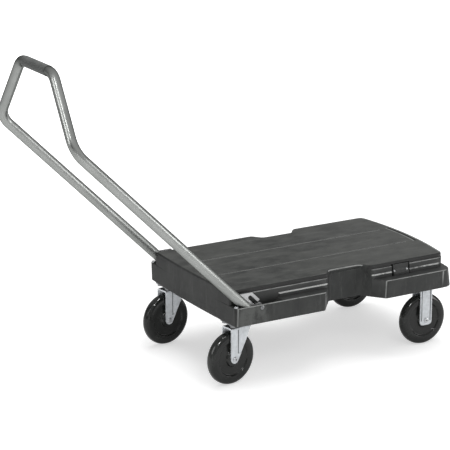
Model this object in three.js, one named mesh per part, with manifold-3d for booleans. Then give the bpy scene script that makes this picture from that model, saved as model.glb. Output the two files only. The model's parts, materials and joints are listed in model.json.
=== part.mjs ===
// Three-position furniture dolly: a moulded deck on four casters with a fold-over tow handle.
// Millimetres. +X runs from the handle end to the nose, +Y to the left side, +Z up.
// Heights below are measured from the floor and X from the handle end wall; the exported
// group shifts them so that the origin is the middle of the load deck's top face.
import * as THREE from 'three';
import { mergeVertices } from 'three/addons/utils/BufferGeometryUtils.js';
import Module from 'manifold-3d';

const wasm = await Module();
wasm.setup();

// ---- heights above the floor
const WHEEL_DIAMETER = 127;
const DECK_BOTTOM = 151;
const POCKET_FLOOR = 157;
const FLANGE_TOP = 196;
const SHELF_TOP = 206.2;
const INNER_LEDGE_TOP = 219;
const DECK_TOP = 229;

// ---- plan of the deck
const DECK_CENTRE_X = 305;
const FLANGE_HALF_WIDTH = 209.5;
const SHELF_HALF_WIDTH = 181.2;
const INNER_HALF_WIDTH = 179.2;
const TOP_HALF_WIDTH = 176;
const NOSE_X = 602;
const SHELF_END_X = 586;
const NOSE_BOW = 14;
const END_BOW = 5;
const WAIST_START = 242;
const WAIST_END = 414;
const WAIST_SLANT = 42;
const WAIST_HALF_WIDTH = 155;
const WAIST_SLANT_WIDTH = FLANGE_HALF_WIDTH - WAIST_HALF_WIDTH;
const SKIRT_DRAFT = 0.012;
const SKIRT_NOSE_FLARE = 8;
const PANEL_LINE_Y = 57;
const PANEL_LINE_DEPTH = 1.2;

// ---- handle
const TUBE_RADIUS = 12;
const LEG_Y = 192;
const PIVOT_X = 68;
const PIVOT_Z = 190;
const LEG_OFFSET = 22.5;
const TOW_ANGLE = THREE.MathUtils.degToRad(135.3);
const LEG_START = 4;
const LEG_LENGTH = 621;
const LEG_BEND = 55;
const GRIP_BEND = 38;
const GRIP_X = -383;
const GRIP_Z = 761.5;
const GRIP_HALF_WIDTH = 82.5;
const SLEEVE_HALF_LENGTH = 60;
const SLEEVE_WALL = 0.6;
const FOLDED_TUBE_Z = PIVOT_Z + LEG_OFFSET;

// ---- handle pockets, saddles and hinge plates
const TUBE_SIDE_GAP = 0.8;
const POCKET_HALF_WIDTH = TUBE_RADIUS + TUBE_SIDE_GAP;
const POCKET_START = 12;
const POCKET_END = 131;
const PLATE_BED = 175;
const PLATE_THICKNESS = 5;
const PLATE_REACH = 34.5;
const HOOK_WIDTH = 10;
const PIVOT_BOLT_RADIUS = 4;
const CLIP_X = 472;
const CLIP_LENGTH = 44;
const CLIP_RECESS_LENGTH = 52;
const CLIP_RECESS_FLOOR = 191;
const CLIP_RECESS_INNER = 171;
const CLIP_RECESS_OUTER = 185;
const CLIP_BORE = TUBE_RADIUS + 0.5;

// ---- casters
const CASTER_Y = 157;
const SWIVEL_X = 38;
const SWIVEL_TRAIL = 26;
const SWIVEL_REST_TURN = THREE.MathUtils.degToRad(8);
const RIGID_X = 554;
const PLATE_LENGTH = 72;
const PLATE_WIDTH = 62;
const CASTER_PLATE_THICKNESS = 4;
const BOLT_SPACING_X = 56;
const BOLT_SPACING_Y = 38;
const BOLT_RADIUS = 3.4;
const BOLT_DEPTH = 4.5;
const FORK_INNER = 15;
const FORK_THICKNESS = 3;
const CROWN_TOP = 139;
const CROWN_THICKNESS = 4;
const CROWN_FRONT = 22;
const AXLE_RADIUS = 4;
const AXLE_HEAD_HEIGHT = 3.6;
const KINGPIN_RADIUS = 6;
const BUSH_RADIUS = 8;
const TREAD_HALF_WIDTH = 12.5;
const WHEEL_SEGMENTS = 32;

const PLASTIC = { color: 0x454745, roughness: 0.62, metalness: 0 };
const RUBBER = { color: 0x262827, roughness: 0.38, metalness: 0 };
const ZINC = { color: 0xb9bfc4, roughness: 0.35, metalness: 0.85 };
const SATIN = { color: 0xa4a7a4, roughness: 0.32, metalness: 0.9 };
const VINYL = { color: 0x5a5d5b, roughness: 0.7, metalness: 0 };
const NYLON = { color: 0x33352f, roughness: 0.5, metalness: 0 };

// ---------------------------------------------------------------- helpers

function toSolid(geometry) {
  const bare = geometry.clone();
  bare.deleteAttribute('normal');
  bare.deleteAttribute('uv');
  const merged = mergeVertices(bare, 1e-4);
  return new wasm.Manifold(new wasm.Mesh({
    numProp: 3,
    vertProperties: Float32Array.from(merged.attributes.position.array),
    triVerts: Uint32Array.from(merged.index.array),
  }));
}

function toGeometry(solid) {
  const mesh = solid.getMesh();
  const geometry = new THREE.BufferGeometry();
  geometry.setAttribute('position', new THREE.BufferAttribute(mesh.vertProperties, 3));
  geometry.setIndex(new THREE.BufferAttribute(mesh.triVerts, 1));
  geometry.computeVertexNormals();
  return geometry;
}

function joinAll(geometries) {
  return geometries.map(toSolid).reduce((sum, next) => sum.add(next));
}

function cut(base, tools) {
  return tools.reduce((rest, tool) => rest.subtract(toSolid(tool)), base);
}

function box(x0, x1, y0, y1, z0, z1) {
  const geometry = new THREE.BoxGeometry(x1 - x0, y1 - y0, z1 - z0);
  return geometry.translate((x0 + x1) / 2, (y0 + y1) / 2, (z0 + z1) / 2);
}

// An outline drawn in plan and raised from z0 to z1, with both rims eased by `edge`.
function raise(shape, z0, z1, edge = 0, curveSegments = 4, bevelSegments = 1) {
  const geometry = new THREE.ExtrudeGeometry(shape, {
    depth: z1 - z0 - 2 * edge,
    bevelEnabled: edge > 0,
    bevelThickness: edge,
    bevelSize: edge,
    bevelOffset: -edge,
    bevelSegments,
    curveSegments,
  });
  return geometry.translate(0, 0, z0 + edge);
}

// An outline drawn as (x, z) and thickened from y0 to y1.
function thickenY(shape, y0, y1, curveSegments = 4) {
  const geometry = new THREE.ExtrudeGeometry(shape, {
    depth: y1 - y0,
    bevelEnabled: false,
    curveSegments,
  });
  return geometry.rotateX(Math.PI / 2).translate(0, y1, 0);
}

// An outline drawn as (y, z) and drawn out from x0 to x1.
function drawX(shape, x0, x1, curveSegments = 4) {
  const geometry = new THREE.ExtrudeGeometry(shape, {
    depth: x1 - x0,
    bevelEnabled: false,
    curveSegments,
  });
  const turn = new THREE.Matrix4().set(0, 0, 1, x0, 1, 0, 0, 0, 0, 1, 0, 0, 0, 0, 0, 1);
  return geometry.applyMatrix4(turn);
}

// A profile of [radius, height] pairs turned about the Y axis.
function turned(profile, segments) {
  return new THREE.LatheGeometry(profile.map(([r, h]) => new THREE.Vector2(r, h)), segments);
}

// The same profile turned about the Z axis.
function turnedUp(profile, segments) {
  return turned(profile, segments).rotateX(Math.PI / 2);
}

function ringProfile(inner, outer, low, high) {
  return [[inner, low], [outer, low], [outer, high], [inner, high], [inner, low]];
}

function roundedRectangle(width, height, radius) {
  const shape = new THREE.Shape();
  const w = width / 2;
  const h = height / 2;
  shape.moveTo(radius - w, -h);
  shape.lineTo(w - radius, -h);
  shape.quadraticCurveTo(w, -h, w, radius - h);
  shape.lineTo(w, h - radius);
  shape.quadraticCurveTo(w, h, w - radius, h);
  shape.lineTo(radius - w, h);
  shape.quadraticCurveTo(-w, h, -w, h - radius);
  shape.lineTo(-w, radius - h);
  shape.quadraticCurveTo(-w, -h, radius - w, -h);
  return shape;
}

// A hole whose flats, not its corners, lie at the given radius.
function roundHole(x, y, radius, curveSegments = 4) {
  const hole = new THREE.Path();
  const corner = radius / Math.cos(Math.PI / (2 * curveSegments));
  hole.absarc(x, y, corner, 0, Math.PI * 2, true);
  return hole;
}

function part(name, geometry, look) {
  const mesh = new THREE.Mesh(geometry, new THREE.MeshStandardMaterial(look));
  mesh.name = name;
  return mesh;
}

// ---------------------------------------------------------------- deck

// Draws on towards a corner and rounds it off, ready to head for the next point.
function roundCorner(shape, from, corner, next, setback) {
  const towards = (target) => {
    const run = Math.hypot(target[0] - corner[0], target[1] - corner[1]);
    return corner.map((c, i) => c + ((target[i] - c) * setback) / run);
  };
  shape.lineTo(...towards(from));
  shape.quadraticCurveTo(...corner, ...towards(next));
}

function roundCorners(shape, points, setback) {
  for (let i = 1; i < points.length - 1; i += 1) {
    roundCorner(shape, points[i - 1], points[i], points[i + 1], setback);
  }
}

// Deck outline with waisted sides, rounded corners and a bowed nose, drawn anticlockwise.
function deckOutline({ halfWidth, startX, noseX, waist, endRadius, noseRadius, endBow, setback }) {
  const slope = WAIST_SLANT / WAIST_SLANT_WIDTH;
  const taper = (halfWidth - waist) * slope;
  const inset = (FLANGE_HALF_WIDTH - halfWidth) * slope;
  const side = [
    [startX + endRadius, halfWidth],
    [WAIST_START + inset, halfWidth],
    [WAIST_START + inset + taper, waist],
    [WAIST_END - inset - taper, waist],
    [WAIST_END - inset, halfWidth],
    [noseX - noseRadius, halfWidth],
  ];
  const shape = new THREE.Shape();
  shape.moveTo(startX + endRadius, -halfWidth);
  roundCorners(shape, side.map(([x, y]) => [x, -y]), setback);
  shape.lineTo(noseX - noseRadius, -halfWidth);
  shape.quadraticCurveTo(noseX - 2, -halfWidth, noseX, noseRadius - halfWidth);
  shape.quadraticCurveTo(noseX + 2 * NOSE_BOW, 0, noseX, halfWidth - noseRadius);
  shape.quadraticCurveTo(noseX - 2, halfWidth, noseX - noseRadius, halfWidth);
  roundCorners(shape, side.reverse(), setback);
  shape.lineTo(startX + endRadius, halfWidth);
  shape.quadraticCurveTo(startX, halfWidth, startX, halfWidth - endRadius);
  shape.quadraticCurveTo(startX - 2 * endBow, 0, startX, endRadius - halfWidth);
  shape.quadraticCurveTo(startX, -halfWidth, startX + endRadius, -halfWidth);
  return shape;
}

// The skirt narrows a little towards its bottom rim and flares out below the nose.
function draftSkirt(geometry) {
  const place = geometry.attributes.position;
  const height = FLANGE_TOP - DECK_BOTTOM;
  for (let i = 0; i < place.count; i += 1) {
    const down = (FLANGE_TOP - place.getZ(i)) / height;
    place.setY(i, place.getY(i) * (1 - SKIRT_DRAFT * down));
    if (place.getX(i) > NOSE_X - 20) {
      place.setX(i, place.getX(i) + SKIRT_NOSE_FLARE * down);
    }
  }
  return geometry;
}

function skirt() {
  const shape = deckOutline({
    halfWidth: FLANGE_HALF_WIDTH,
    startX: 0,
    noseX: NOSE_X + 4,
    waist: WAIST_HALF_WIDTH,
    endRadius: 13,
    noseRadius: 34,
    endBow: END_BOW,
    setback: 5,
  });
  return draftSkirt(raise(shape, DECK_BOTTOM, FLANGE_TOP, 1.5));
}

// The narrow shelf at the foot of the wall beside each side ledge.
function wallShelf() {
  const shape = deckOutline({
    halfWidth: SHELF_HALF_WIDTH,
    startX: POCKET_END,
    noseX: SHELF_END_X,
    waist: WAIST_HALF_WIDTH,
    endRadius: 2,
    noseRadius: 8,
    endBow: 0,
    setback: 9,
  });
  return raise(shape, FLANGE_TOP - 10, SHELF_TOP, 0.8);
}

function innerLedge() {
  const shape = deckOutline({
    halfWidth: INNER_HALF_WIDTH,
    startX: -0.3,
    noseX: NOSE_X - 0.3,
    waist: WAIST_HALF_WIDTH,
    endRadius: 6,
    noseRadius: 24,
    endBow: END_BOW,
    setback: 9,
  });
  return raise(shape, DECK_BOTTOM + 1, INNER_LEDGE_TOP, 0.8);
}

function loadPlate() {
  const shape = deckOutline({
    halfWidth: TOP_HALF_WIDTH,
    startX: -0.3,
    noseX: NOSE_X,
    waist: WAIST_HALF_WIDTH - 3.5,
    endRadius: 9,
    noseRadius: 22,
    endBow: END_BOW,
    setback: 9,
  });
  return raise(shape, INNER_LEDGE_TOP - 14, DECK_TOP, 5, 4, 2);
}

// The pocket for the leg's foot and its hinge plate: deepest below the standing foot, then
// shallower, with a ramp at its end that follows the edge of the folded plate.
function pocketTool(side) {
  const inner = LEG_Y - POCKET_HALF_WIDTH;
  const outer = LEG_Y + POCKET_HALF_WIDTH;
  const rampFoot = POCKET_END - (FLANGE_TOP + 4 - PLATE_BED);
  const shape = new THREE.Shape();
  shape.moveTo(POCKET_START, POCKET_FLOOR);
  shape.lineTo(PIVOT_X - 2, POCKET_FLOOR);
  shape.lineTo(PIVOT_X + 12, PLATE_BED);
  shape.lineTo(rampFoot, PLATE_BED);
  shape.lineTo(POCKET_END, FLANGE_TOP + 4);
  shape.lineTo(POCKET_END, DECK_TOP + 10);
  shape.lineTo(POCKET_START, DECK_TOP + 10);
  const [y0, y1] = side > 0 ? [inner, outer] : [-outer, -inner];
  return thickenY(shape, y0, y1);
}

// A box that spans distances y0 to y1 from the middle plane, on the given side.
function sideBox(side, x0, x1, y0, y1, z0, z1) {
  return side > 0 ? box(x0, x1, y0, y1, z0, z1) : box(x0, x1, -y1, -y0, z0, z1);
}

// Room for the saddle, cut into the wall beside the ledge and a little into the ledge.
function clipRecessTool(side) {
  const x0 = CLIP_X - CLIP_RECESS_LENGTH / 2;
  const x1 = CLIP_X + CLIP_RECESS_LENGTH / 2;
  const top = DECK_TOP - 6;
  return sideBox(side, x0, x1, CLIP_RECESS_INNER, CLIP_RECESS_OUTER, CLIP_RECESS_FLOOR, top);
}

function panelLineTools() {
  const tools = [];
  for (const side of [-1, 1]) {
    const line = roundedRectangle(540, 3, 1.4).getPoints(1);
    const shape = new THREE.Shape(line);
    const groove = raise(shape, DECK_TOP - PANEL_LINE_DEPTH, DECK_TOP + 2);
    tools.push(groove.translate(DECK_CENTRE_X - 5, side * PANEL_LINE_Y, 0));
  }
  return tools;
}

// A shallow slot that follows the bowed nose.
function noseSlotTool() {
  const shape = new THREE.Shape();
  const half = 60;
  const back = NOSE_X - 6;
  shape.moveTo(back, -half);
  shape.quadraticCurveTo(back + 7, 0, back, half);
  shape.lineTo(back + 5, half);
  shape.quadraticCurveTo(back + 12, 0, back + 5, -half);
  return raise(shape, DECK_TOP - 2.5, DECK_TOP + 2);
}

// Hollows under the deck, which leave a grid of ribs and solid pads above the casters.
function undersideTools() {
  const tools = [];
  const wide = [[131, 236], [244, 326], [334, 412], [420, 500]];
  const narrow = [[12, 123], [508, 592]];
  const rows = (edge) => [[-edge, -52], [-46, 46], [52, edge]];
  const hollow = ([x0, x1], [y0, y1]) => box(x0, x1, y0, y1, DECK_BOTTOM - 5, DECK_TOP - 7);
  wide.forEach((span) => rows(148).forEach((row) => tools.push(hollow(span, row))));
  narrow.forEach((span) => rows(118).forEach((row) => tools.push(hollow(span, row))));
  for (const [x0, x1] of [[137, 228], [430, 500]]) {
    tools.push(sideBox(-1, x0, x1, 154, 202, DECK_BOTTOM - 5, CLIP_RECESS_FLOOR - 5));
    tools.push(sideBox(1, x0, x1, 154, 202, DECK_BOTTOM - 5, CLIP_RECESS_FLOOR - 5));
  }
  return tools;
}

function casterCentres() {
  return [
    ['front_right', SWIVEL_X, -CASTER_Y, true],
    ['front_left', SWIVEL_X, CASTER_Y, true],
    ['rear_right', RIGID_X, -CASTER_Y, false],
    ['rear_left', RIGID_X, CASTER_Y, false],
  ];
}

function plateCorners() {
  const corners = [];
  for (const sx of [-1, 1]) {
    for (const sy of [-1, 1]) {
      corners.push([sx * BOLT_SPACING_X / 2, sy * BOLT_SPACING_Y / 2]);
    }
  }
  return corners;
}

function deckBoltHoles() {
  const holes = [];
  for (const [, x, y] of casterCentres()) {
    for (const [dx, dy] of plateCorners()) {
      const hole = turnedUp([[0, -5], [3.9, -5], [3.9, 5.2], [0, 5.2]], 8);
      holes.push(hole.translate(x + dx, y + dy, DECK_BOTTOM));
    }
  }
  return holes;
}

function pivotBoltHole(side) {
  const reach = FLANGE_HALF_WIDTH + 5;
  const bore = PIVOT_BOLT_RADIUS + 0.35;
  const hole = turned([[0, 160], [bore, 160], [bore, reach], [0, reach]], 12);
  return (side > 0 ? hole : hole.rotateX(Math.PI)).translate(PIVOT_X, 0, PIVOT_Z);
}

function rivetHole(side) {
  const hole = turnedUp([[0, -9], [2.3, -9], [2.3, 6], [0, 6]], 8);
  return hole.translate(5.6, side * 199, FLANGE_TOP);
}

function deckBody() {
  const blank = joinAll([skirt(), wallShelf(), innerLedge(), loadPlate()]);
  const tools = [...panelLineTools(), noseSlotTool(), ...undersideTools(), ...deckBoltHoles()];
  for (const side of [-1, 1]) {
    tools.push(pocketTool(side), clipRecessTool(side), pivotBoltHole(side), rivetHole(side));
  }
  return part('deck_body', toGeometry(cut(blank, tools)), PLASTIC);
}

// ---------------------------------------------------------------- handle

// Leg frame at rest: `up` runs along the leg, `out` points from the leg to the pivot.
const up = new THREE.Vector3(Math.cos(TOW_ANGLE), 0, Math.sin(TOW_ANGLE));
const out = new THREE.Vector3(Math.sin(TOW_ANGLE), 0, -Math.cos(TOW_ANGLE));
const foot = new THREE.Vector3(PIVOT_X, 0, PIVOT_Z).addScaledVector(out, -LEG_OFFSET);

// A point given along the leg and across it, at a distance y from the middle plane.
function onLeg(along, across, y) {
  return foot.clone().addScaledVector(up, along).addScaledVector(out, across).setY(y);
}

// A path through given stations, so that a sweep has rings only where they are needed.
class StationPath extends THREE.Curve {
  constructor(stations) {
    super();
    this.stations = stations;
  }

  getPoint(t, target = new THREE.Vector3()) {
    const last = this.stations.length - 1;
    const i = Math.min(Math.floor(t * last + 1e-9), last - 1);
    return target.lerpVectors(this.stations[i], this.stations[i + 1], t * last - i);
  }

  getPointAt(t, target) {
    return this.getPoint(t, target);
  }

  getTangentAt(t, target = new THREE.Vector3()) {
    const last = this.stations.length - 1;
    const i = Math.round(t * last);
    const before = this.stations[Math.max(i - 1, 0)];
    const after = this.stations[Math.min(i + 1, last)];
    const here = this.stations[i];
    const incoming = here.clone().sub(before).normalize();
    const outgoing = after.clone().sub(here).normalize();
    return target.copy(incoming).add(outgoing).normalize();
  }
}

// Replaces each inner corner of a polyline by an arc of the radius given for it.
function bendStations(corners, radii, steps) {
  const stations = [corners[0]];
  radii.forEach((radius, i) => {
    const corner = corners[i + 1];
    const back = corners[i].clone().sub(corner).normalize();
    const ahead = corners[i + 2].clone().sub(corner).normalize();
    const half = back.angleTo(ahead) / 2;
    const reach = radius / Math.tan(half);
    const middle = back.clone().add(ahead).normalize();
    const centre = corner.clone().addScaledVector(middle, radius / Math.sin(half));
    const start = corner.clone().addScaledVector(back, reach).sub(centre);
    const axis = back.clone().cross(ahead).normalize().negate();
    const sweep = Math.PI - 2 * half;
    for (let k = 0; k <= steps; k += 1) {
      const arm = start.clone().applyAxisAngle(axis, (sweep * k) / steps);
      stations.push(arm.add(centre));
    }
  });
  stations.push(corners[corners.length - 1]);
  return stations;
}

function handleTube() {
  const corners = [
    onLeg(LEG_START, 0, -LEG_Y),
    onLeg(LEG_LENGTH, 0, -LEG_Y),
    new THREE.Vector3(GRIP_X, -GRIP_HALF_WIDTH, GRIP_Z),
    new THREE.Vector3(GRIP_X, GRIP_HALF_WIDTH, GRIP_Z),
    onLeg(LEG_LENGTH, 0, LEG_Y),
    onLeg(LEG_START, 0, LEG_Y),
  ];
  const stations = bendStations(corners, [LEG_BEND, GRIP_BEND, GRIP_BEND, LEG_BEND], 6);
  const circle = new THREE.Shape();
  circle.absarc(0, 0, TUBE_RADIUS, 0, Math.PI * 2, false);
  const geometry = new THREE.ExtrudeGeometry(circle, {
    steps: stations.length - 1,
    bevelEnabled: false,
    curveSegments: 8,
    extrudePath: new StationPath(stations),
  });
  return part('handle_tube', toGeometry(toSolid(geometry)), SATIN);
}

function gripSleeve() {
  const inner = TUBE_RADIUS + 0.2;
  const profile = ringProfile(inner, inner + SLEEVE_WALL, -SLEEVE_HALF_LENGTH, SLEEVE_HALF_LENGTH);
  const geometry = turned(profile, 32);
  const mesh = part('grip_sleeve', geometry, VINYL);
  mesh.position.set(GRIP_X, 0, GRIP_Z);
  return mesh;
}

// Plate welded along the leg: an eye for the pivot bolt and, above it, an open hook slot.
function hingePlate(name, side) {
  const near = TUBE_RADIUS + 0.1;
  const eye = PIVOT_BOLT_RADIUS + 4.2;
  const hookInner = LEG_OFFSET - HOOK_WIDTH / 2;
  const hookOuter = LEG_OFFSET + HOOK_WIDTH / 2;
  const hookEnd = 9;
  const plateTop = 37.5;
  const shape = new THREE.Shape();
  shape.moveTo(near, -5);
  shape.lineTo(near + 4, -eye);
  shape.lineTo(LEG_OFFSET, -eye);
  shape.absarc(LEG_OFFSET, 0, eye, -Math.PI / 2, Math.PI * 0.6, false);
  shape.lineTo(hookInner, hookEnd + 2);
  shape.lineTo(hookInner, 33);
  shape.absarc(LEG_OFFSET, 33, HOOK_WIDTH / 2, Math.PI, 0, true);
  shape.lineTo(hookOuter, hookEnd);
  shape.lineTo(PLATE_REACH, hookEnd);
  shape.lineTo(PLATE_REACH, plateTop);
  shape.lineTo(near, plateTop + PLATE_REACH - near);
  shape.lineTo(near, -5);
  shape.holes.push(roundHole(LEG_OFFSET, 0, PIVOT_BOLT_RADIUS + 0.15, 6));
  const geometry = thickenY(shape, -PLATE_THICKNESS / 2, PLATE_THICKNESS / 2, 6);
  geometry.applyMatrix4(new THREE.Matrix4().makeBasis(out, new THREE.Vector3(0, 1, 0), up));
  const mesh = part(name, geometry, ZINC);
  mesh.position.copy(foot).setY(side * LEG_Y);
  return mesh;
}

// Nylon spacer on the pivot bolt, between the hinge plate and the inner pocket wall.
function pivotSpacer(name, side) {
  const low = LEG_Y - POCKET_HALF_WIDTH + 0.2;
  const high = LEG_Y - PLATE_THICKNESS / 2 - 0.2;
  const geometry = turned(ringProfile(PIVOT_BOLT_RADIUS + 0.3, 8, low, high), 12);
  if (side < 0) {
    geometry.rotateX(Math.PI);
  }
  const mesh = part(name, geometry, NYLON);
  mesh.position.set(PIVOT_X, 0, PIVOT_Z);
  return mesh;
}

function pivotBolt(name, side) {
  const face = FLANGE_HALF_WIDTH + 0.1;
  const r = PIVOT_BOLT_RADIUS;
  const shank = [[0, 161], [r, 161], [r, face]];
  const profile = [...shank, [5.2, face], [5.2, face + 0.8], [3.6, face + 1.8], [0, face + 1.8]];
  const geometry = turned(profile, 12);
  if (side < 0) {
    geometry.rotateX(Math.PI);
  }
  const mesh = part(name, geometry, ZINC);
  mesh.position.set(PIVOT_X, 0, PIVOT_Z);
  return mesh;
}

function cornerRivet(name, side) {
  const profile = [[0, -8], [2, -8], [2, 0.2], [5.2, 0.2], [4.8, 2.2], [2.8, 3.5], [0, 3.8]];
  const mesh = part(name, turnedUp(profile, 12), ZINC);
  mesh.position.set(5.6, side * 199, FLANGE_TOP);
  return mesh;
}

// Saddle set into the wall: its jaw and its hollow foot follow the side of the folded leg.
function handleClip(name, side) {
  const inner = CLIP_RECESS_INNER + 0.3;
  const outer = CLIP_RECESS_OUTER - 0.3;
  const floor = CLIP_RECESS_FLOOR + 0.3;
  const jawTop = DECK_TOP - 7;
  const hug = Math.acos((LEG_Y - outer) / CLIP_BORE);
  const shape = new THREE.Shape();
  shape.moveTo(inner, floor);
  shape.lineTo(inner, jawTop - 2);
  shape.lineTo(inner + 2, jawTop);
  shape.lineTo(LEG_Y - CLIP_BORE, jawTop);
  shape.lineTo(LEG_Y - CLIP_BORE, FOLDED_TUBE_Z);
  shape.absarc(LEG_Y, FOLDED_TUBE_Z, CLIP_BORE, Math.PI, Math.PI + hug, false);
  shape.lineTo(outer, floor);
  shape.lineTo(inner, floor);
  const geometry = drawX(shape, -CLIP_LENGTH / 2, CLIP_LENGTH / 2, 4);
  if (side < 0) {
    geometry.rotateZ(Math.PI);
  }
  const mesh = part(name, geometry, NYLON);
  mesh.position.set(CLIP_X, 0, 0);
  return mesh;
}

function handle() {
  const group = new THREE.Group();
  group.add(handleTube(), gripSleeve());
  group.add(hingePlate('hinge_plate_right', -1), hingePlate('hinge_plate_left', 1));
  return group;
}

// ---------------------------------------------------------------- casters

// Every caster is drawn with its plate centre on the Z axis and the floor at z = 0.
function mountingPlate(name, bore) {
  const shape = roundedRectangle(PLATE_LENGTH, PLATE_WIDTH, 8);
  plateCorners().forEach(([x, y]) => shape.holes.push(roundHole(x, y, 3.7)));
  if (bore > 0) {
    shape.holes.push(roundHole(0, 0, bore));
  }
  const top = DECK_BOTTOM - 0.2;
  return part(name, raise(shape, top - CASTER_PLATE_THICKNESS, top, 0, 4), ZINC);
}

function plateBolt(name, x, y) {
  const seat = DECK_BOTTOM - 0.3 - CASTER_PLATE_THICKNESS;
  const head = turnedUp([[0, -5], [5.8, -5], [6.6, -4.2], [6.6, -0.1], [0, -0.1]], 6);
  const tip = BOLT_DEPTH + CASTER_PLATE_THICKNESS;
  const shank = turnedUp([[0, -2], [BOLT_RADIUS, -2], [BOLT_RADIUS, tip], [0, tip]], 8);
  const mesh = part(name, toGeometry(joinAll([head, shank])), ZINC);
  mesh.position.set(x, y, seat);
  return mesh;
}

function wheel(name) {
  const bore = 8.2;
  const profile = [
    [bore, -14.4], [18, -14.4], [21, -9.5],
    [41, -9.5], [43.5, -TREAD_HALF_WIDTH], [56, -TREAD_HALF_WIDTH],
    [61.5, -9.5], [63.5, -5],
    [63.5, 5], [61.5, 9.5],
    [56, TREAD_HALF_WIDTH], [43.5, TREAD_HALF_WIDTH], [41, 9.5],
    [21, 9.5], [18, 14.4], [bore, 14.4], [bore, -14.4],
  ];
  return part(name, turned(profile, WHEEL_SEGMENTS), RUBBER);
}

function bushing(name) {
  const half = FORK_INNER - 0.2;
  return part(name, turned(ringProfile(AXLE_RADIUS + 0.3, BUSH_RADIUS, -half, half), 16), ZINC);
}

// Button-head bolt with a hexagon socket, its head outside the right fork side.
function axleBolt(name) {
  const face = -(FORK_INNER + FORK_THICKNESS + 0.1);
  const end = face - AXLE_HEAD_HEIGHT;
  const tip = FORK_INNER + FORK_THICKNESS + 7.5;
  const head = [[0, end], [3.6, end], [5.4, end + 1], [6.2, end + 2.4], [6.2, face]];
  const shank = [[AXLE_RADIUS, face], [AXLE_RADIUS, tip], [0, tip]];
  const socket = turned([[0, end - 1], [2.8, end - 1], [2.8, end + 2], [0, end + 2]], 6);
  const blank = toSolid(turned([...head, ...shank], 16));
  return part(name, toGeometry(blank.subtract(toSolid(socket))), ZINC);
}

function axleNut(name) {
  const face = FORK_INNER + FORK_THICKNESS + 0.1;
  const r = AXLE_RADIUS + 0.2;
  const bore = turned([[0, face - 1], [r, face - 1], [r, face + 8], [0, face + 8]], 12);
  const blank = turned([[0, face], [7.4, face], [7.4, face + 5.5], [6.4, face + 6.4], [0, face + 6.4]], 6);
  return part(name, toGeometry(toSolid(blank).subtract(toSolid(bore))), ZINC);
}

function wheelSet(corner) {
  const group = new THREE.Group();
  group.add(wheel(`wheel_${corner}`), bushing(`wheel_bushing_${corner}`));
  group.add(axleBolt(`axle_bolt_${corner}`), axleNut(`axle_nut_${corner}`));
  return group;
}

// Side plate of the swivel fork: upright at the back, slanting to the axle at the front.
function swivelSide() {
  const r = WHEEL_DIAMETER / 2;
  const shape = new THREE.Shape();
  shape.moveTo(-SWIVEL_TRAIL - 10.5, CROWN_TOP);
  shape.lineTo(-SWIVEL_TRAIL - 10.5, r);
  shape.absarc(-SWIVEL_TRAIL, r, 10.5, Math.PI, Math.PI * 1.8, false);
  shape.lineTo(6, 102);
  shape.lineTo(CROWN_FRONT, CROWN_TOP);
  shape.holes.push(roundHole(-SWIVEL_TRAIL, r, AXLE_RADIUS + 0.2));
  return shape;
}

function swivelFork(name) {
  const outer = FORK_INNER + FORK_THICKNESS;
  const sides = [thickenY(swivelSide(), -outer, -FORK_INNER), thickenY(swivelSide(), FORK_INNER, outer)];
  const crown = box(-SWIVEL_TRAIL - 10.5, CROWN_FRONT, -outer, outer, CROWN_TOP - CROWN_THICKNESS, CROWN_TOP);
  const r = KINGPIN_RADIUS + 0.4;
  const bore = turnedUp([[0, 120], [r, 120], [r, DECK_BOTTOM], [0, DECK_BOTTOM]], 16);
  return part(name, toGeometry(joinAll([...sides, crown]).subtract(toSolid(bore))), ZINC);
}

function ballRace(name) {
  const profile = [[10, 139.3], [20, 139.3], [23, 141], [23, 144.5], [20, 146.5], [10, 146.5], [10, 139.3]];
  return part(name, turnedUp(profile, 20), ZINC);
}

function kingpin(name) {
  const under = CROWN_TOP - CROWN_THICKNESS - 0.3;
  const head = [[0, under - 4], [8, under - 4], [9.5, under - 2.5], [9.5, under]];
  const stem = [[KINGPIN_RADIUS, under], [KINGPIN_RADIUS, DECK_BOTTOM - 0.6], [0, DECK_BOTTOM - 0.6]];
  return part(name, turnedUp([...head, ...stem], 16), ZINC);
}

function rigidSide() {
  const r = WHEEL_DIAMETER / 2;
  const shape = new THREE.Shape();
  const top = DECK_BOTTOM - CASTER_PLATE_THICKNESS - 0.4;
  shape.moveTo(-17, top);
  shape.lineTo(-17, r - 2);
  shape.quadraticCurveTo(-17, r - 12.5, -7, r - 12.5);
  shape.lineTo(7, r - 12.5);
  shape.quadraticCurveTo(17, r - 12.5, 17, r - 2);
  shape.lineTo(17, top);
  shape.holes.push(roundHole(0, r, AXLE_RADIUS + 0.2));
  return shape;
}

function rigidFork(name) {
  const outer = FORK_INNER + FORK_THICKNESS;
  const top = DECK_BOTTOM - CASTER_PLATE_THICKNESS - 0.4;
  const sides = [thickenY(rigidSide(), -outer, -FORK_INNER), thickenY(rigidSide(), FORK_INNER, outer)];
  const crown = box(-17, 17, -outer, outer, top - CROWN_THICKNESS, top);
  return part(name, toGeometry(joinAll([...sides, crown])), ZINC);
}

function plateFasteners(corner) {
  return plateCorners().map(([x, y], i) => plateBolt(`plate_bolt_${corner}_${i + 1}`, x, y));
}

function swivelCaster(corner) {
  const group = new THREE.Group();
  group.add(mountingPlate(`caster_plate_${corner}`, KINGPIN_RADIUS + 0.4));
  group.add(...plateFasteners(corner));
  group.add(ballRace(`ball_race_${corner}`), kingpin(`kingpin_${corner}`));
  const turning = new THREE.Group();
  turning.rotation.z = SWIVEL_REST_TURN;
  const wheels = wheelSet(corner);
  wheels.position.set(-SWIVEL_TRAIL, 0, WHEEL_DIAMETER / 2);
  turning.add(swivelFork(`fork_${corner}`), wheels);
  group.add(turning);
  return group;
}

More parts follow.
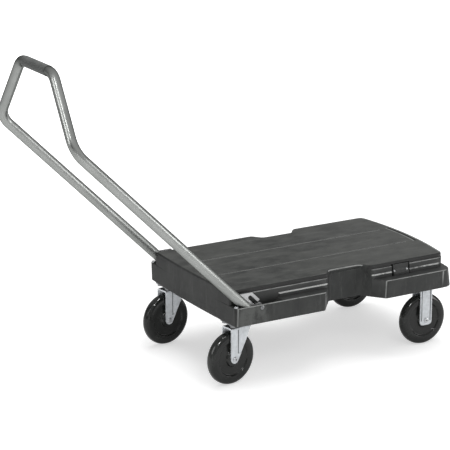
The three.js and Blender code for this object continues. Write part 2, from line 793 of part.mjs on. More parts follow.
function rigidCaster(corner) {
  const group = new THREE.Group();
  group.add(mountingPlate(`caster_plate_${corner}`, 0), ...plateFasteners(corner));
  const wheels = wheelSet(corner);
  wheels.position.z = WHEEL_DIAMETER / 2;
  group.add(rigidFork(`fork_${corner}`), wheels);
  return group;
}

// ---------------------------------------------------------------- assembly

function furnitureDolly() {
  const dolly = new THREE.Group();
  dolly.add(deckBody(), handle());
  dolly.add(pivotBolt('pivot_bolt_right', -1), pivotBolt('pivot_bolt_left', 1));
  dolly.add(pivotSpacer('pivot_spacer_right', -1), pivotSpacer('pivot_spacer_left', 1));
  dolly.add(cornerRivet('corner_rivet_right', -1), cornerRivet('corner_rivet_left', 1));
  dolly.add(handleClip('handle_clip_right', -1), handleClip('handle_clip_left', 1));
  for (const [corner, x, y, swivels] of casterCentres()) {
    const caster = swivels ? swivelCaster(corner) : rigidCaster(corner);
    caster.position.set(x, y, 0);
    dolly.add(caster);
  }
  dolly.position.set(-DECK_CENTRE_X, 0, -DECK_TOP);
  return dolly;
}

export default furnitureDolly();
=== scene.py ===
import json
import math
from contextlib import contextmanager

import bmesh
import bpy
import numpy as np
from mathutils import Matrix, Vector

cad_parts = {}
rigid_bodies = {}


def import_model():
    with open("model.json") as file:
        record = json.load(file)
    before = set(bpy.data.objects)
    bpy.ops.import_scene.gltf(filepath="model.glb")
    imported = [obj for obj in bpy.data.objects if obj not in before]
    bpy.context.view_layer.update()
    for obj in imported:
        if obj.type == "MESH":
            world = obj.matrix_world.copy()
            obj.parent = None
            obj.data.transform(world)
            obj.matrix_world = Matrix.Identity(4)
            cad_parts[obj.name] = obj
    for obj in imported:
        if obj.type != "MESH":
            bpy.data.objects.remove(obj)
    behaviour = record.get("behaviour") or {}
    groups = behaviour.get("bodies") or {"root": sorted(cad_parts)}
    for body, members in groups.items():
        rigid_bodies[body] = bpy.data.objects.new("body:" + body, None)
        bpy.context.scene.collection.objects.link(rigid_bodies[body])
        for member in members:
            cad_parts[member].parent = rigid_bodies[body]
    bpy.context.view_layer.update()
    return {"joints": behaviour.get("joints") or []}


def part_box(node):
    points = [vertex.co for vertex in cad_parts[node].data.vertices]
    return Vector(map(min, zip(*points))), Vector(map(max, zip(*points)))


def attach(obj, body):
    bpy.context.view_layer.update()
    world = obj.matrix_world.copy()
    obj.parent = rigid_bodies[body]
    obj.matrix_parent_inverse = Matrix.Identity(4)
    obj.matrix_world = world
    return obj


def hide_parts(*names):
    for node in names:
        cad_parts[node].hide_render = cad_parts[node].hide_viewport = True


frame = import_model()

# Shapes are drawn in millimetres, x from the handle-end wall, y from the middle plane and
# z from the floor. SHIFT moves them to the row frame, where they meet the CAD handle's pivot.
MM = 0.001
SIDES = (("right", -1), ("left", 1))
# Deck: bows of its ends, levels, half widths, waist, nose, slot, panel lines and rivets.
END_BOW, NOSE_BOW = 5.0, 14.0
DECK_BOTTOM, POCKET_FLOOR, FLANGE_TOP = 151.0, 157.0, 196.0
SHELF_TOP, LEDGE_TOP, DECK_TOP = 206.2, 219.0, 229.0
FLANGE_HALF, SHELF_HALF, LEDGE_HALF, TOP_HALF = 209.5, 181.2, 179.2, 176.0
WAIST_START, WAIST_END, WAIST_SLANT, WAIST_HALF = 242.0, 414.0, 42.0, 155.0
NOSE_X, NOSE_HALF, NOSE_FLARE, SKIRT_TAPER, SHELF_END = 602.0, 154, 8, 0.012, 586.0
SLOT_HALF, SLOT_BOW, SLOT_WIDTH, LINE_DEPTH = 60.0, 3.5, 5.0, 1.2
PANEL_Y, PANEL_START, PANEL_END = 57, 30, 570
RIVET_X, RIVET_Y = 5.6, 199
# Leg pockets, and the saddles that hold the folded legs.
LEG_Y, TUBE_R, POCKET_HALF, FOLDED_Z = 192.0, 12.0, 12.8, 212.5
POCKET_START, POCKET_END, PLATE_BED = 12.0, 131.0, 175.0
CLIP_X, CLIP_LENGTH, CLIP_RECESS = 472.0, 44.0, 52.0
CLIP_INNER, CLIP_OUTER, CLIP_FLOOR, CLIP_TOP = 171.0, 185.0, 191.0, 222.0
SCREW_XS = (CLIP_X - 18, CLIP_X + 18)
# Handle: pivot, slant in the towing position, leg and grip corners, and radii of the bends.
PIVOT_X, PIVOT_Z, LEG_OFFSET, TOW_ANGLE = 68.0, 190.0, 22.5, math.radians(135.3)
LEG_FROM, LEG_TO, GRIP_CORNER_Y = 4, 621, 82.5
LEG_BEND, GRIP_BEND = 55.0, 38.0
# Casters: mounting plate and its bolts, forks and wheels.
PLATE_TOP, PLATE_THICK = DECK_BOTTOM - 0.2, 4.0
BOLT_SPOTS = ((-28, -19), (-28, 19), (28, -19), (28, 19))
FORK_INNER, FORK_THICK, CROWN_TOP, TRAIL, AXLE_R, WHEEL_R = 15.0, 3.0, 139.0, 26.0, 4.0, 63.5
FORK_OUTER = FORK_INNER + FORK_THICK
# Meshes: doubled points and flat seams to join, and edges shaded as smooth.
MERGE_DISTANCE, FLAT_ANGLE, SMOOTH_ANGLE = 0.01, math.radians(0.4), math.radians(32)
# Turns a shape drawn up the Z axis to lie along Y.
SIDEWAYS = Matrix.Rotation(math.radians(-90), 4, "X")

pivot = next(joint["pos_m"] for joint in frame["joints"] if joint["name"] == "handle_fold")
SHIFT = Vector((pivot[0] - PIVOT_X * MM, 0.0, pivot[2] - PIVOT_Z * MM))


# ---- mesh helpers

def mesh_of(points, faces):
    mesh = bpy.data.meshes.new("shape")
    mesh.from_pydata([tuple(p) for p in points], [], faces)
    mesh.validate()
    return mesh


@contextmanager
def editing(mesh):
    work = bmesh.new()
    work.from_mesh(mesh)
    yield work
    work.to_mesh(mesh)
    work.free()


def outward(mesh):
    """The same closed mesh with its faces turned outwards."""
    with editing(mesh) as work:
        if work.calc_volume(signed=True) < 0:
            bmesh.ops.reverse_faces(work, faces=work.faces)
    return mesh


def loft(rings):
    """A closed skin over rings of equally many points, with a flat cap at each end."""
    n = len(rings[0])
    points = [p for ring in rings for p in ring]
    faces = []
    for k in range(len(rings) - 1):
        a, b = k * n, (k + 1) * n
        for i in range(n):
            j = (i + 1) % n
            faces.append((a + i, a + j, b + j, b + i))
    faces.append(tuple(reversed(range(n))))
    faces.append(tuple(range(len(points) - n, len(points))))
    return outward(mesh_of(points, faces))


def lathe(profile, segments, ring=False):
    """(radius, height) pairs turned about Z: a solid's profile meets the axis, a ring's is closed."""
    points, faces, rows = [], [], []
    for r, h in profile:
        if r < 1e-6:
            rows.append([len(points)] * segments)
            points.append((0.0, 0.0, h))
            continue
        rows.append(list(range(len(points), len(points) + segments)))
        for i in range(segments):
            a = 2 * math.pi * i / segments
            points.append((r * math.cos(a), r * math.sin(a), h))
    pairs = list(zip(rows, rows[1:]))
    if ring:
        pairs.append((rows[-1], rows[0]))
    for low, high in pairs:
        for i in range(segments):
            j = (i + 1) % segments
            face = [low[i], low[j], high[j], high[i]]
            face = [v for k, v in enumerate(face) if v != face[k - 1]]
            if len(face) > 2:
                faces.append(tuple(face))
    return outward(mesh_of(points, faces))


def at(x, y, z):
    return Matrix.Translation((x, y, z))


def moved(mesh, matrix):
    mesh.transform(matrix)
    return outward(mesh)


def prism(plan, z0, z1):
    """An (x, y) outline thickened along Z."""
    return loft([[(x, y, z) for x, y in plan] for z in (z0, z1)])


def block(x0, x1, y0, y1, z0, z1):
    return prism([(x0, y0), (x1, y0), (x1, y1), (x0, y1)], z0, z1)


def rod(radius, low, high, segments=24):
    """A plain bar up the Z axis, used to cut bores and sockets."""
    return lathe([(0, low), (radius, low), (radius, high), (0, high)], segments)


def combine(base, others, operation):
    """A new mesh: base joined with, or cut by, each of the other meshes."""
    scene = bpy.context.scene
    holder = bpy.data.objects.new("base", base)
    scene.collection.objects.link(holder)
    group = bpy.data.collections.new("tools")
    scene.collection.children.link(group)
    for mesh in others:
        group.objects.link(bpy.data.objects.new("tool", mesh))
    step = holder.modifiers.new("step", "BOOLEAN")
    step.operation = operation
    step.operand_type = "COLLECTION"
    step.collection = group
    step.solver = "MANIFOLD"
    deps = bpy.context.evaluated_depsgraph_get()
    result = bpy.data.meshes.new_from_object(holder.evaluated_get(deps), depsgraph=deps)
    for o in list(group.objects) + [holder]:
        bpy.data.objects.remove(o)
    bpy.data.collections.remove(group)
    return result


def tidy_edges(mesh):
    """Joins doubled points and dissolves the seams between faces that lie in one plane."""
    with editing(mesh) as work:
        bmesh.ops.remove_doubles(work, verts=work.verts, dist=MERGE_DISTANCE)
        bmesh.ops.dissolve_limit(work, angle_limit=FLAT_ANGLE, verts=work.verts, edges=work.edges)
    return mesh


def cut(base, tools):
    return tidy_edges(combine(base, tools, "DIFFERENCE"))


def ease_edges(mesh, width, angle):
    """Rounds the edges that are sharper than the angle."""
    limit = math.radians(angle)
    with editing(mesh) as work:
        edges = [e for e in work.edges if len(e.link_faces) == 2 and e.calc_face_angle(0) > limit]
        bmesh.ops.bevel(work, geom=edges, offset=width, offset_type="OFFSET", segments=2,
                        profile=0.5, affect="EDGES", clamp_overlap=True)
    return mesh


def centre_of(node):
    """The middle of a CAD node's box at rest, in millimetres."""
    low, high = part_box(node)
    return ((low + high) / 2 - SHIFT) / MM


def piece(name, mesh, body, look, nodes=()):
    """A named piece that rides on a CAD body; a look is a material and the record's slot for it, and the slot
    is not used.
    """
    material, slot = look
    mesh.transform(Matrix.Translation(SHIFT) @ Matrix.Scale(MM, 4))
    mesh.name = name
    o = bpy.data.objects.new(name, mesh)
    bpy.context.scene.collection.objects.link(o)
    mesh.materials.clear()
    mesh.materials.append(material)
    mesh.shade_smooth()
    with editing(mesh) as work:
        for e in work.edges:
            e.smooth = len(e.link_faces) == 2 and e.calc_face_angle(0) < SMOOTH_ANGLE
    o.modifiers.new("even_normals", "WEIGHTED_NORMAL").keep_sharp = True
    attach(o, body)
    if nodes:
        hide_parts(*nodes)


def fine(node, mesh, body, look):
    """The piece that stands for one CAD node."""
    piece(f"{node}_fine", mesh, body, look, [node])


# ---- outlines

def fillet(corners, steps=5):
    """Rounds the inner corners of an open line; each corner is (x, y, radius)."""
    out = [corners[0][:2]]
    for before, here, after in zip(corners, corners[1:], corners[2:]):
        p = Vector(here[:2])
        back = (Vector(before[:2]) - p).normalized()
        ahead = (Vector(after[:2]) - p).normalized()
        radius = here[2]
        if radius <= 0:
            out.append(tuple(p))
            continue
        half = back.angle(ahead) / 2
        reach = radius / math.tan(half)
        centre = p + (back + ahead).normalized() * (radius / math.sin(half))
        first, last = p + back * reach - centre, p + ahead * reach - centre
        sweep = first.angle_signed(last)
        for k in range(steps + 1):
            turn = Matrix.Rotation(-sweep * k / steps, 2)
            out.append(tuple(centre + turn @ first))
    out.append(corners[-1][:2])
    return out


def curve(a, control, b, steps):
    out = []
    for k in range(1, steps + 1):
        t = k / steps
        out.append(tuple((1 - t) ** 2 * p + 2 * t * (1 - t) * q + t * t * r
                         for p, q, r in zip(a, control, b)))
    return out


def mirrored(half_line):
    """A closed outline from its lower half, which starts and ends on the middle line."""
    return half_line + [(x, -y) for x, y in reversed(half_line[1:-1])]


def deck_outline(half, start, nose, waist_half, end_r, nose_r, end_bow, ease):
    """The deck's plan at one level, anticlockwise, with waisted sides and bowed ends."""
    slope = WAIST_SLANT / (FLANGE_HALF - WAIST_HALF)
    taper = (half - waist_half) * slope
    first, last = WAIST_START + (FLANGE_HALF - half) * slope, WAIST_END - (FLANGE_HALF - half) * slope
    waist = [(start + end_r, -half, 0), (first, -half, ease), (first + taper, -waist_half, ease),
             (last - taper, -waist_half, ease), (last, -half, ease), (nose - nose_r, -half, 0)]
    line = [(start - end_bow, 0.0)]
    bow_end = (start, end_r - half)
    for t in (0.25, 0.5, 0.75):
        line.append((start - end_bow * (1 - t * t), bow_end[1] * t))
    line.append(bow_end)
    line += curve(bow_end, (start, -half), (start + end_r, -half), 8)
    line += fillet(waist)[1:]
    nose_start = (nose, nose_r - half)
    line += curve((nose - nose_r, -half), (nose - 2, -half), nose_start, 10)
    for t in (0.85, 0.7, 0.55, 0.4, 0.25, 0.12):
        line.append((nose + NOSE_BOW * (1 - t * t), nose_start[1] * t))
    line.append((nose + NOSE_BOW, 0.0))
    return mirrored(line)


def inset(outline, distance):
    """The closed outline moved inwards by a distance."""
    pts = np.array(outline)
    ahead = np.roll(pts, -1, 0) - pts
    ahead /= np.linalg.norm(ahead, axis=1)[:, None]
    back = np.roll(ahead, 1, 0)
    normal = np.stack([-(ahead + back)[:, 1], (ahead + back)[:, 0]], 1)
    length = np.linalg.norm(normal, axis=1)
    normal *= (2 / length ** 2)[:, None]
    return pts + normal * distance


def eased_levels(z0, z1, low, high, steps=5):
    """(height, inset) pairs of a wall whose two rims are rounded by the given radii."""
    out = []
    for k in range(steps + 1 if low else 1):
        a = math.pi / 2 * k / steps
        out.append((z0 + low * (1 - math.cos(a)), low * (1 - math.sin(a))))
    for k in range(steps + 1 if high else 1):
        a = math.pi / 2 * k / steps
        out.append((z1 - high * (1 - math.sin(a)), high * (1 - math.cos(a))))
    return out


def storey(outline, levels, shape=None):
    rings = []
    for z, d in levels:
        ring = inset(outline, d) if d > 1e-9 else np.array(outline)
        ring = [(x, y, z) for x, y in ring]
        rings.append([shape(p) for p in ring] if shape else ring)
    return loft(rings)


def rounded_box(x0, x1, y0, y1, r, steps=4):
    out = []
    for cx, cy, a0 in ((x1 - r, y0 + r, -90), (x1 - r, y1 - r, 0),
                       (x0 + r, y1 - r, 90), (x0 + r, y0 + r, 180)):
        for k in range(steps + 1):
            a = math.radians(a0 + 90 * k / steps)
            out.append((cx + r * math.cos(a), cy + r * math.sin(a)))
    return out


def set_values(mesh, name, values):
    """Stores one number per point, for a material to read."""
    layer = mesh.attributes.new(name, "FLOAT", "POINT")
    layer.data.foreach_set("value", np.asarray(values, np.float32))
    return mesh


def points_of(mesh):
    co = np.zeros(len(mesh.vertices) * 3, np.float32)
    mesh.vertices.foreach_get("co", co)
    return co.reshape(-1, 3)


def rounded(corners):
    """An open line with rounded corners, from (x, y, radius) corners; a missing radius is 0."""
    return fillet([tuple(c) if len(c) == 3 else (*c, 0) for c in corners], 4)


def rounded_ring(corners, steps=4):
    """The same for a closed line."""
    n = len(corners)
    line = []
    for i in range(n):
        three = [corners[i - 1], corners[i], corners[(i + 1) % n]]
        line += fillet(three, steps)[1:-1]
    return line


def thick_plate(plan, y0, y1):
    """An (x, z) outline thickened along Y."""
    return loft([[(x, y, z) for x, z in plan] for y in (y0, y1)])


def drawn_bar(section, x0, x1):
    """A (y, z) outline drawn along X."""
    return loft([[(x, y, z) for y, z in section] for x in (x0, x1)])


def arc(cx, cy, r, a0, a1, steps):
    out = []
    for k in range(steps + 1):
        a = math.radians(a0 + (a1 - a0) * k / steps)
        out.append((cx + r * math.cos(a), cy + r * math.sin(a)))
    return out


def bend_stations(corners, radii, steps):
    """Points along a bent tube: each inner corner becomes an arc of its own radius."""
    stations = [corners[0]]
    for before, here, after, radius in zip(corners, corners[1:], corners[2:], radii):
        back, ahead = (before - here).normalized(), (after - here).normalized()
        half = back.angle(ahead) / 2
        centre = here + (back + ahead).normalized() * (radius / math.sin(half))
        start = here + back * (radius / math.tan(half)) - centre
        axis = -back.cross(ahead).normalized()
        sweep = math.pi - 2 * half
        for k in range(steps + 1):
            stations.append(centre + Matrix.Rotation(sweep * k / steps, 3, axis) @ start)
    return stations + [corners[-1]]


def tube_along(stations, radius, segments, end=1.0):
    """A round bar swept along stations, with softly rounded ends."""
    first = (stations[1] - stations[0]).normalized()
    last = (stations[-1] - stations[-2]).normalized()
    quarter = [math.pi / 2 * k / 3 for k in range(4)]
    inwards = [end * (1 - math.cos(a)) for a in quarter]
    thinner = [radius - end * (1 - math.sin(a)) for a in quarter]
    spine = [stations[0] + first * d for d in inwards] + stations[1:-1]
    spine += [stations[-1] - last * d for d in reversed(inwards)]
    radii = thinner + [radius] * (len(stations) - 2) + thinner[::-1]
    side = Vector((0, 0, 1)).cross(first).normalized()
    turns = np.linspace(0, 2 * math.pi, segments, endpoint=False)
    rings, along, run = [], [], 0.0
    for i, p in enumerate(spine):
        before, after = spine[max(i - 1, 0)], spine[min(i + 1, len(spine) - 1)]
        tangent = ((p - before).normalized() + (after - p).normalized()).normalized()
        side = (side - tangent * side.dot(tangent)).normalized()
        other = tangent.cross(side)
        run += (p - before).length
        rings.append([p + (side * math.cos(t) + other * math.sin(t)) * radii[i]
                      for t in turns])
        along += [run] * segments
    mesh = loft(rings)
    around = np.tile(turns, len(rings))
    set_values(mesh, "around_cos", radius * np.cos(around))
    set_values(mesh, "around_sin", radius * np.sin(around))
    return set_values(mesh, "along", along)


def hexagon_bolt_head(flats, low, high, chamfer):
    """A hexagon head whose top corners are turned off to a cone."""
    corner, top = flats / math.sqrt(3), high + 0.35
    turned = lathe([(0, low - 1), (corner + 1, low - 1), (corner + 1, high - chamfer - 0.6),
                    (flats / 2 - 0.2, top), (0, top)], 48)
    return combine(rod(corner, low, high, 6), [turned], "INTERSECT")


# ---- deck

def skirt_shape(point):
    """The skirt narrows towards its bottom rim and flares out below the nose."""
    x, y, z = point
    down = (FLANGE_TOP - z) / (FLANGE_TOP - DECK_BOTTOM)
    return (x + (NOSE_FLARE * down if x > NOSE_X - 20 else 0), y * (1 - SKIRT_TAPER * down), z)


def clip_recess(side):
    y0, y1 = sorted((side * CLIP_INNER, side * CLIP_OUTER))
    plan = rounded_box(CLIP_X - CLIP_RECESS / 2, CLIP_X + CLIP_RECESS / 2, y0, y1, 1.2)
    return prism(plan, CLIP_FLOOR, DECK_TOP - 6)


def hollow(x0, x1, y0, y1, top):
    plan = rounded_box(x0, x1, y0, y1, 3)
    levels = [(DECK_BOTTOM - 5, 0)] + eased_levels(top - 6, top, 0, 2.5, 3)
    return storey(plan, levels)


def underside_tools():
    """The hollows between the ribs; (start, end, half width) of each row of three."""
    tools = []
    for x0, x1, edge in ((131, 236, 148), (244, 326, 148), (334, 412, 148),
                         (420, 500, 148), (12, 123, 118), (508, 592, 118)):
        for y0, y1 in ((-edge, -52), (-46, 46), (52, edge)):
            tools.append(hollow(x0, x1, y0, y1, DECK_TOP - 7))
    for x0, x1 in ((137, 228), (430, 500)):
        for _, side in SIDES:
            y0, y1 = sorted((side * 154, side * 202))
            tools.append(hollow(x0, x1, y0, y1, CLIP_FLOOR - 5))
    return tools


def caster_centres():
    for corner in ("front_right", "front_left", "rear_right", "rear_left"):
        middle = centre_of(f"caster_plate_{corner}")
        yield corner, middle.x, middle.y, corner.startswith("front")


def drill(x, y, z0, z1, r, segments=24):
    return moved(rod(r, z0, z1, segments), at(x, y, 0))


def panel_line(side):
    plan = rounded_box(PANEL_START, PANEL_END, side * PANEL_Y - 1.5, side * PANEL_Y + 1.5, 1.4)
    return prism(plan, DECK_TOP - LINE_DEPTH, DECK_TOP + 2)


def nose_slot():
    back = NOSE_X - 6
    inner = [(back + SLOT_BOW * (1 - (y / SLOT_HALF) ** 2), y)
             for y in np.linspace(-SLOT_HALF, SLOT_HALF, 17)]
    plan = [(x + SLOT_WIDTH, y) for x, y in inner] + list(reversed(inner))
    return prism(plan, DECK_TOP - LINE_DEPTH, DECK_TOP + 2)


def pocket(side):
    """Deepest below the standing foot, then a bed and a ramp that follow the folded plate."""
    ramp_top, above = FLANGE_TOP + 4, DECK_TOP + 10
    plan = [(POCKET_END, above), (POCKET_END, ramp_top, 3),
            (POCKET_END - ramp_top + PLATE_BED, PLATE_BED, 4), (PIVOT_X + 12, PLATE_BED, 4),
            (PIVOT_X - 2, POCKET_FLOOR, 4), (POCKET_START, POCKET_FLOOR, 3), (POCKET_START, above)]
    y0, y1 = sorted((side * (LEG_Y - POCKET_HALF), side * (LEG_Y + POCKET_HALF)))
    return thick_plate(rounded(plan), y0, y1)


def corner_groove(side):
    """A narrow upright groove at the rounded corner of the handle end."""
    plan = arc(-0.2, side * (FLANGE_HALF - 6.2), 2.6, 0, 337.5, 15)
    return loft([[skirt_shape((x, y, z)) for x, y in plan] for z in (DECK_BOTTOM - 4, FLANGE_TOP + 4)])


def deck_mesh():
    """A skirt, shelf, ledge and load plate, one above the other, then everything cut out of them."""
    skirt = deck_outline(FLANGE_HALF, 0, NOSE_X + 4, WAIST_HALF, 13, 34, END_BOW, 9)
    shelf = deck_outline(SHELF_HALF, POCKET_END, SHELF_END, WAIST_HALF, 2, 8, 0, 16)
    ledge = deck_outline(LEDGE_HALF, -0.3, NOSE_X - 0.3, WAIST_HALF, 6, 24, END_BOW, 16)
    plate = deck_outline(TOP_HALF, -0.3, NOSE_X, WAIST_HALF - 3.5, 9, 22, END_BOW, 16)
    body = combine(storey(skirt, eased_levels(DECK_BOTTOM, FLANGE_TOP, 1.5, 1.5), skirt_shape),
                   [storey(shelf, eased_levels(FLANGE_TOP - 10, SHELF_TOP, 0, 1.1)),
                    storey(ledge, eased_levels(DECK_BOTTOM + 2, LEDGE_TOP, 0, 0.9)),
                    storey(plate, eased_levels(LEDGE_TOP - 14, DECK_TOP, 0, 5, 7))], "UNION")
    tools = [nose_slot(), *underside_tools()]
    for _, side in SIDES:
        tools += [panel_line(side), corner_groove(side), pocket(side), clip_recess(side),
                  to_side(rod(4.35, 160, FLANGE_HALF + 5), side, PIVOT_X, PIVOT_Z),
                  drill(RIVET_X, side * RIVET_Y, FLANGE_TOP - 9, FLANGE_TOP + 6, 2.3)]
    for _, x, y, _ in caster_centres():
        tools += [drill(x + dx, y + dy, DECK_BOTTOM - 5, DECK_BOTTOM + 5.2, 3.9) for dx, dy in BOLT_SPOTS]
    return cut(body, tools)


# ---- handle and its fittings

LEG_UP = Vector((math.cos(TOW_ANGLE), 0, math.sin(TOW_ANGLE)))
LEG_OUT = Vector((math.sin(TOW_ANGLE), 0, -math.cos(TOW_ANGLE)))
FOOT = Vector((PIVOT_X, 0, PIVOT_Z)) - LEG_OUT * LEG_OFFSET


def on_leg(along, y):
    p = FOOT + LEG_UP * along
    return Vector((p.x, y, p.z))


def handle_tube_mesh():
    grip = centre_of("grip_sleeve")
    corners = [on_leg(LEG_FROM, -LEG_Y), on_leg(LEG_TO, -LEG_Y), Vector((grip.x, -GRIP_CORNER_Y, grip.z)),
               Vector((grip.x, GRIP_CORNER_Y, grip.z)), on_leg(LEG_TO, LEG_Y), on_leg(LEG_FROM, LEG_Y)]
    radii = (LEG_BEND, GRIP_BEND, GRIP_BEND, LEG_BEND)
    return tube_along(bend_stations(corners, radii, 14), TUBE_R, 40)


def grip_sleeve_mesh():
    """A thin sleeve shrunk on the cross grip, with rolled ends and fine flutes."""
    low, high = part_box("grip_sleeve")
    half, skin = (high.y - low.y) / 2 / MM, TUBE_R + 0.76
    line = [(TUBE_R + 0.2, -half), (TUBE_R + 0.35, -half), (skin - 0.15, -half + 0.12), (skin, -half + 0.5)]
    for y in np.linspace(-half + 3, half - 3, 77):
        line.append((skin - 0.12 * (0.5 - 0.5 * math.cos(2 * math.pi * y / 6.0)) ** 4, y))
    line += [(r, -h) for r, h in reversed(line[:4])]
    return moved(lathe(line, 48, ring=True), Matrix.Translation(centre_of("grip_sleeve")) @ SIDEWAYS)


def hinge_plate_mesh(side):
    near, hook_in, hook_out, eye = TUBE_R + 0.1, LEG_OFFSET - 5, LEG_OFFSET + 5, 8.2
    plan = [(near, -5), (near + 4, -eye)]
    plan += arc(LEG_OFFSET, 0, eye, -90, 108, 20)
    plan += [(hook_in, 11)]
    plan += arc(LEG_OFFSET, 33, 5, 180, 0, 16)
    plan += [(hook_out, 9), (34.5, 9), (34.5, 37.5), (near, 37.5 + 34.5 - near)]
    plate = thick_plate(plan, -2.5, 2.5)
    bolt_hole = moved(rod(4.3, -9, 9, 48), at(LEG_OFFSET, 0, 0) @ SIDEWAYS.transposed())
    plate = ease_edges(cut(plate, [bolt_hole]), 0.5, 60)
    basis = Matrix((LEG_OUT, (0, 1, 0), LEG_UP)).transposed().to_4x4()
    return moved(plate, at(FOOT.x, side * LEG_Y, FOOT.z) @ basis)


def to_side(mesh, side, x, z):
    """Turns a shape drawn up the Z axis so that it points out of the given side."""
    return moved(mesh, at(x, 0, z) @ Matrix.Rotation(math.radians(-90 * side), 4, "X"))


def pivot_bolt_mesh(side):
    face = FLANGE_HALF + 0.1
    line = rounded([(0, 161), (4, 161, 0.6), (4, face, 0), (5.2, face, 0), (5.2, face + 0.9, 0.4),
                            (3.6, face + 1.8, 0.8), (0, face + 1.8)])
    bolt = cut(lathe(line, 40), [rod(2.2, face + 0.6, face + 4, 6)])
    return to_side(bolt, side, PIVOT_X, PIVOT_Z)


def pivot_spacer_mesh(side):
    low, high = LEG_Y - POCKET_HALF + 0.2, LEG_Y - 2.7
    line = rounded_ring([(4.3, low, 0.3), (8, low, 0.8), (8, high, 0.8), (4.3, high, 0.3)])
    return to_side(lathe(line, 40, ring=True), side, PIVOT_X, PIVOT_Z)


def corner_rivet_mesh(side):
    line = rounded([(0, -8), (2, -8, 0), (2, 0.2, 0), (5.2, 0.2, 0), (5.1, 1.5, 0.5),
                            (3.6, 3.4, 1.4), (0, 3.8)])
    return moved(lathe(line, 36), at(RIVET_X, side * RIVET_Y, FLANGE_TOP))


SADDLE_BORE = TUBE_R + 0.5
SCREW_ANGLE = math.radians(205)
SCREW_SEAT = Vector((0, LEG_Y + SADDLE_BORE * math.cos(SCREW_ANGLE),
                     FOLDED_Z + SADDLE_BORE * math.sin(SCREW_ANGLE)))


def saddle_mesh(side):
    """Saddle set into the wall: an upright jaw and a hollow foot for the folded leg."""
    inner, outer, floor = CLIP_INNER + 0.3, CLIP_OUTER - 0.3, CLIP_FLOOR + 0.3
    hug = math.degrees(math.acos((LEG_Y - outer) / SADDLE_BORE))
    section = [(outer, floor)] + arc(LEG_Y, FOLDED_Z, SADDLE_BORE, 180 + hug, 180, 12)
    section += [(LEG_Y - SADDLE_BORE, CLIP_TOP), (inner + 2, CLIP_TOP), (inner, CLIP_TOP - 2), (inner, floor)]
    half = CLIP_LENGTH / 2
    bar = drawn_bar([(side * y, z) for y, z in section], CLIP_X - half, CLIP_X + half)
    bar = ease_edges(tidy_edges(bar), 0.7, 40)
    return cut(bar, [moved(rod(3.0, -4, 2), screw_place(side, x)) for x in SCREW_XS])


def screw_place(side, x):
    """Places a shape drawn up the Z axis on the saddle's hollow, square to it."""
    up = Vector((0, -side * math.cos(SCREW_ANGLE), -math.sin(SCREW_ANGLE)))
    across = Vector((1, 0, 0))
    turn = Matrix((across, up.cross(across), up)).transposed().to_4x4()
    return at(x, side * SCREW_SEAT.y, SCREW_SEAT.z) @ turn


def saddle_screw_mesh(side, x):
    line = rounded([(0, -3.9), (2.8, -3.9, 0.3), (2.8, -1.0, 0.5), (1.6, -0.3, 0.8), (0, -0.3)])
    cross = [block(-1.9, 1.9, -0.35, 0.35, -1.4, 1), block(-0.35, 0.35, -1.9, 1.9, -1.4, 1)]
    return moved(cut(lathe(line, 32), cross), screw_place(side, x))


# ---- casters

def mounting_plate_mesh(swivels):
    plan = rounded_box(-36, 36, -31, 31, 8, 6)
    plate = storey(plan, eased_levels(PLATE_TOP - PLATE_THICK, PLATE_TOP, 0.5, 0.5, 2))
    holes = [drill(dx, dy, 140, 155, 3.7) for dx, dy in BOLT_SPOTS]
    if swivels:
        holes.append(drill(0, 0, 140, 155, 6.4, 32))
    return cut(plate, holes)


def plate_bolt_mesh():
    head = hexagon_bolt_head(11.4, -5.0, -0.9, 0.5)
    head = moved(head, at(0, 0, -5.9) @ Matrix.Rotation(math.pi, 4, "X"))
    washer = lathe(rounded([(0, -1.4), (6.6, -1.4, 0.3), (6.6, -0.1, 0.3), (0, -0.1)]), 32)
    shank = lathe([(0, -3), (3.4, -3), (3.4, 8.2), (3.1, 8.5), (0, 8.5)], 24)
    return tidy_edges(combine(head, [washer, shank], "UNION"))


def wheel_mesh():
    """Moulded wheel: a boss, a recessed web, a raised tyre wall and a crowned tread."""
    half = [(8.2, 14.4, 0.4), (17.6, 14.4, 1.3), (20.4, 9.2, 2.5), (27.5, 8.4, 0), (40.2, 8.9, 1.6),
            (43.0, 12.4, 1.3), (49.0, 12.9, 9), (56.0, 12.0, 12.0), (61.4, 9.0, 6.0), (63.5, 3.2, 6.0)]
    line = rounded_ring(half + [(r, -h, e) for r, h, e in reversed(half)], 6)
    mesh = lathe(line, 96, ring=True)
    co = points_of(mesh)
    set_values(mesh, "ring", np.hypot(co[:, 0], co[:, 1]))
    return moved(mesh, SIDEWAYS)


def bushing_mesh():
    half = FORK_INNER - 0.2
    line = rounded_ring([(4.3, -half, 0.2), (8, -half, 0.6), (8, half, 0.6), (4.3, half, 0.2)], 3)
    return moved(lathe(line, 40, ring=True), SIDEWAYS)


def axle_bolt_mesh():
    """Button-head bolt with a hexagon socket."""
    face = -(FORK_OUTER + 0.1)
    end = face - 3.6
    line = rounded([(0, end), (3.7, end, 0.4), (5.3, end + 0.9, 1.2), (6.2, end + 2.6, 0.8),
                            (6.2, face, 0.2), (AXLE_R, face, 0), (AXLE_R, 25.0), (3.6, 25.5), (0, 25.5)])
    return moved(cut(lathe(line, 40), [rod(2.8, end - 1, end + 3.2, 6)]), SIDEWAYS)


def axle_nut_mesh():
    face = FORK_OUTER + 0.1
    nut = moved(hexagon_bolt_head(12.8, 0, 6.3, 0.8), at(0, 0, face))
    return moved(cut(nut, [rod(4.2, face - 1, face + 9, 32)]), SIDEWAYS)


